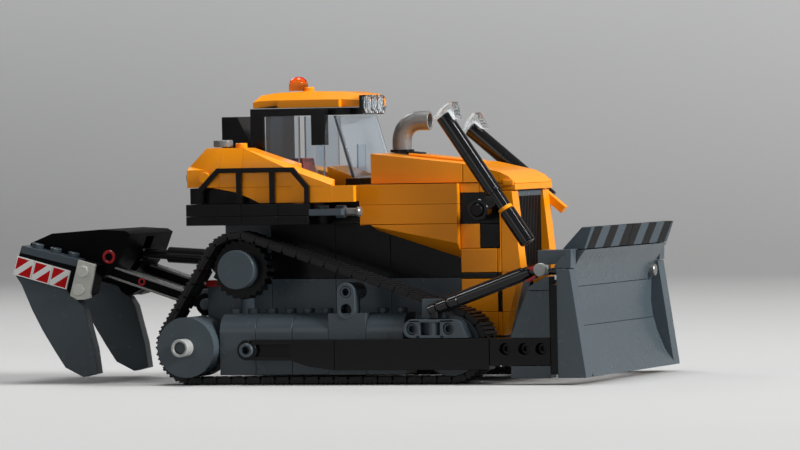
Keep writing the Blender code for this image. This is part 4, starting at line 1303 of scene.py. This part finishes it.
for tag, side in SIDES:
    node = "lift_cylinder_" + tag
    body = body_of[node]
    peg = joint_at["lift_swing_" + tag]
    blocks = [along_tube(tag, side, -1.3, -46.8, UPPER)]
    if tag == "R":
        blocks.append(along_tube(tag, side, -48.2, -64.0, LOWER))
        piece("lift_band_R", [along_tube(tag, side, -46.6, -48.4, BAND)], ORANGE, body)
    far = on_tube(tag, ARM_ALONG)
    near = (peg.x + (far[0] - peg.x) * 0.4, peg.z + (far[1] - peg.z) * 0.4)
    blocks.append(outline(strip(near, far, 5 * MM), *two(side, 29.1, 33.9)))
    blocks.append(ring(peg.x, peg.z, side, 28.8 * MM, 34.2 * MM, 4.4 * MM, 2.7 * MM))
    piece(node + "_tube", blocks, GLOSS, body, [node])
    node = "lift_lamp_" + tag
    piece(node + "_wedge", [rounded(copy_of(node), 0.16 * MM)], CLEAR, body, [node])
    bars = []
    for a in (-5.4, -4.0, -2.6, -1.2):
        b = 4.6 + (a + 6.4) * WEDGE_RISE / WEDGE_LONG
        bar = strip(on_tube(tag, a - 0.3, b), on_tube(tag, a + 0.3, b + 0.24), 0.6 * MM)
        bars.append(outline(bar, *two(side, 28.2, 34.8), 0.1 * MM))
    piece(node + "_bars", bars, CLEAR, body)
print("lift cylinders done")

# %% [markdown]
# ## Ripper
# Two shanks hang from a carriage behind the machine. Its side beams carry a grey studded plate, three red and
# white tiles and a light two-stud plate, and rimmed arms join it to the machine; the pale grey of the rims is
# painted highlight. Image textures could draw the stripes, but here the material works them out from where a
# point lies, so they line up by themselves.

# %% Ripper carriage
TOP_REAR, TOP_FRONT = (-81.9, 57.4), (-56.5, 51.3)
TOP_PLATE = [TOP_REAR, TOP_FRONT, (-57.25, 48.2), (-82.65, 54.3)]
TOP_SLOPE = math.atan2(TOP_REAR[1] - TOP_FRONT[1], TOP_FRONT[0] - TOP_REAR[0])
TOP_STUD_Y = 28 * MM
PALE_PLATE = [(-56.3, 51.2), (-48.6, 49.0), (-51.4, 37.2), (-51.0, 35.4), (-54.6, 34.6), (-57.2, 34.6),
              (-60.4, 36.4)]
PALE_OUT = 33.4
PALE_STUDS = ((-54.0, 46.4), (-55.9, 38.8))
ARM_REAR, ARM_FRONT = (-49.0, 46.9), (-9.5, 33.8)
TILE_HIGH = 8.0
ahead = Vector((math.cos(LEAN), -math.sin(LEAN))) * TILE_MM
rise = Vector((math.sin(LEAN), math.cos(LEAN))) * TILE_HIGH
brick("ripper_frame", MATT)
for tag, side in SIDES:
    brick("ripper_shank_" + tag, DARK)
    piece("ripper_top_plate_" + tag, [slab(TOP_PLATE, side, 24.4, 32.2)], DARK, "ripper")
    places = []
    for x in (-76.6, -68.6, -60.6):
        z = TOP_REAR[1] - (x - TOP_REAR[0]) * math.tan(TOP_SLOPE)
        places.append((at(x), side * TOP_STUD_Y, z * MM))
    studs("ripper_studs_" + tag, places, DARK, "ripper", (0.0, TOP_SLOPE, 0.0))
    tiles = []
    for k in range(3):
        low = Vector(TILE_CORNER) + ahead * (k + 0.01)
        corners = [low, low + ahead * 0.98, low + ahead * 0.98 + rise, low + rise]
        tiles.append(slab(corners, side, 31.6, 32.8, 0.15 * MM))
    piece("ripper_tiles_" + tag, tiles, HAZARD, "ripper")
    piece("ripper_pale_plate_" + tag, [slab(PALE_PLATE, side, 31.6, PALE_OUT)], PALE, "ripper")
    turn = TURN_NEAR if side < 0 else TURN_FAR
    places = [(at(x), side * PALE_OUT * MM, z * MM) for x, z in PALE_STUDS]
    studs("ripper_pale_studs_" + tag, places, PALE, "ripper", turn)
    # The pale grey rims along each black arm are painted highlight, for the light that the arm's top edges
    # catch.
    painted_rim_highlights = [slab(strip(ARM_FRONT, ARM_REAR, 1.0, offset), side, 16.2, 23.3) for offset in (-2.1, 2.1)]
    piece("ripper_arm_painted_highlights_" + tag, painted_rim_highlights, PEARL, "ripper")
    red = [ring(at(-46.3), 52.0 * MM, side, 22.0 * MM, 24.5 * MM, 2.9 * MM, 1.6 * MM)]
    red.append(pin(at(-32.3), 41.6 * MM, side, 21.0 * MM, 23.2 * MM, 1.7 * MM, 0.9 * MM, 1 * MM))
    piece("ripper_red_pins_" + tag, red, RED, "ripper")
print("ripper carriage done")

# %% [markdown]
# ## Ripper cylinder
# A black barrel with a black rod lifts the carriage. Both are plain turned solids in the CAD model, so copies
# with softened rims are enough. They stay two pieces, because the rod slides in the barrel when the ripper
# lifts.

# %% Ripper cylinder
tube = rounded(copy_of("ripper_cylinder"), 0.25 * MM, ROUND_SHARP)
piece("ripper_barrel_tube", [tube], BLACK, "ripper_barrel", ["ripper_cylinder"])
rod = rounded(copy_of("ripper_rod"), 0.25 * MM, ROUND_SHARP)
piece("ripper_ram_rod", [rod], BLACK, "ripper_ram", ["ripper_rod"])
print("ripper cylinder done")

# %% [markdown]
# ## Floor
# The model stands on a sheet of pale paper that curves up behind it, as in a photo studio, so no horizon
# shows. A plane and a wall would do, but they meet in a hard line. Light that bounces meets a darker tone
# than the camera sees, so that the floor throws less light up at the model. From behind, the sheet is open,
# so that it doesn't hide the model in rear views.

# %% Floor
FLOOR_NEAR, BEND_AT, BEND_R, WALL_TOP = -4.0, 1.5, 0.8, 4.0
FLOOR_HALF = 6.0
PAPER_DARK, PAPER_LIGHT = (0.47, 0.47, 0.465), (0.50, 0.50, 0.495)
WALL_TONE, BOUNCE_TONE = (0.92, 0.92, 0.92), (0.30, 0.30, 0.297)
WALL_GLOW = 0.2
rows = [(FLOOR_NEAR, 0.0), (BEND_AT, 0.0)]
for a in (math.radians(10 * k) for k in range(1, 10)):
    rows.append((BEND_AT + math.sin(a) * BEND_R, BEND_R - math.cos(a) * BEND_R))
rows.append((BEND_AT + BEND_R, WALL_TOP))
floor_mesh = bpy.data.meshes.new("floor")
bm = bmesh.new()
ends = [(bm.verts.new((-FLOOR_HALF, y, z)), bm.verts.new((FLOOR_HALF, y, z))) for y, z in rows]
for a, b in zip(ends, ends[1:]):
    bm.faces.new((a[0], a[1], b[1], b[0]))
for face in bm.faces:
    face.smooth = True
bm.to_mesh(floor_mesh)
bm.free()
FLOOR = bpy.data.materials.new("pale_floor")
FLOOR.use_nodes = True
tree, surface = FLOOR.node_tree, shader_of(FLOOR)
place = tree.nodes.new("ShaderNodeTexCoord")
split = tree.nodes.new("ShaderNodeSeparateXYZ")
link(tree, place.outputs["Object"], split.inputs["Vector"])
paper = blend_colours(tree, noise(tree, place, 4.0, 2.0), PAPER_DARK, PAPER_LIGHT)
high_up = remap(tree, split.outputs["Z"], 0.0, 0.6, 0.0, 1.0)
seen = blend_colours(tree, high_up, paper, WALL_TONE)
path = tree.nodes.new("ShaderNodeLightPath")
watched = calculate(tree, "MAXIMUM", path.outputs["Is Camera Ray"], path.outputs["Is Transmission Ray"])
tone = blend_colours(tree, watched, BOUNCE_TONE, seen)
link(tree, tone, surface.inputs["Base Color"])
glow = calculate(tree, "MULTIPLY", calculate(tree, "MULTIPLY", high_up, watched), WALL_GLOW)
link(tree, glow, surface.inputs["Emission Strength"])
surface.inputs["Roughness"].default_value = 0.8
back = tree.nodes.new("ShaderNodeNewGeometry")
open_side = tree.nodes.new("ShaderNodeBsdfTransparent")
either = tree.nodes.new("ShaderNodeMixShader")
link(tree, back.outputs["Backfacing"], either.inputs["Fac"])
link(tree, surface.outputs["BSDF"], either.inputs[1])
link(tree, open_side.outputs["BSDF"], either.inputs[2])
link(tree, either.outputs["Shader"], tree.nodes["Material Output"].inputs["Surface"])
floor_mesh.materials.append(FLOOR)
floor = bpy.data.objects.new("floor", floor_mesh)
scene.collection.objects.link(floor)
print("floor with", len(rows), "rows done")

# %% [markdown]
# ## Light
# Large soft lamps light the model from the front and from above, with weak ones to fill and to draw a rim.
# A picture of a room on the world could light it as well, but lamps are easier to steer. Two small weak lamps
# draw the bright lines along the black tubes.

# %% Light
LAMPS = [
    ("key_lamp", (2.80, -0.40, 1.32), 1.10, 124.0),
    ("top_lamp", (0.0, 0.10, 1.40), 0.7, 12.0),
    ("fill_lamp", (-0.3, -1.6, 0.5), 0.9, 1.7),
    ("front_glint_lamp", (1.90, -0.33, 2.00), 0.3, 6.0),
    ("rear_glint_lamp", (-1.40, -1.10, 1.75), 0.3, 4.0),
    ("rim_lamp", (-0.9, 0.9, 0.9), 0.6, 4.0),
]
AIM = Vector((0, 0, 0.06))
world = bpy.data.worlds.new("studio")
world.use_nodes = True
sky = world.node_tree.nodes["Background"]
sky.inputs["Color"].default_value = (0.86, 0.88, 0.92, 1.0)
sky.inputs["Strength"].default_value = 0.13
scene.world = world
for name, spot, size, power in LAMPS:
    data = bpy.data.lights.new(name, "AREA")
    data.shape = "DISK"
    data.size = size
    data.energy = power
    lamp = bpy.data.objects.new(name, data)
    lamp.location = spot
    lamp.rotation_euler = (AIM - Vector(spot)).to_track_quat("-Z", "Y").to_euler()
    scene.collection.objects.link(lamp)
scene.view_settings.view_transform = "Standard"
print(len(LAMPS), "lamps done")
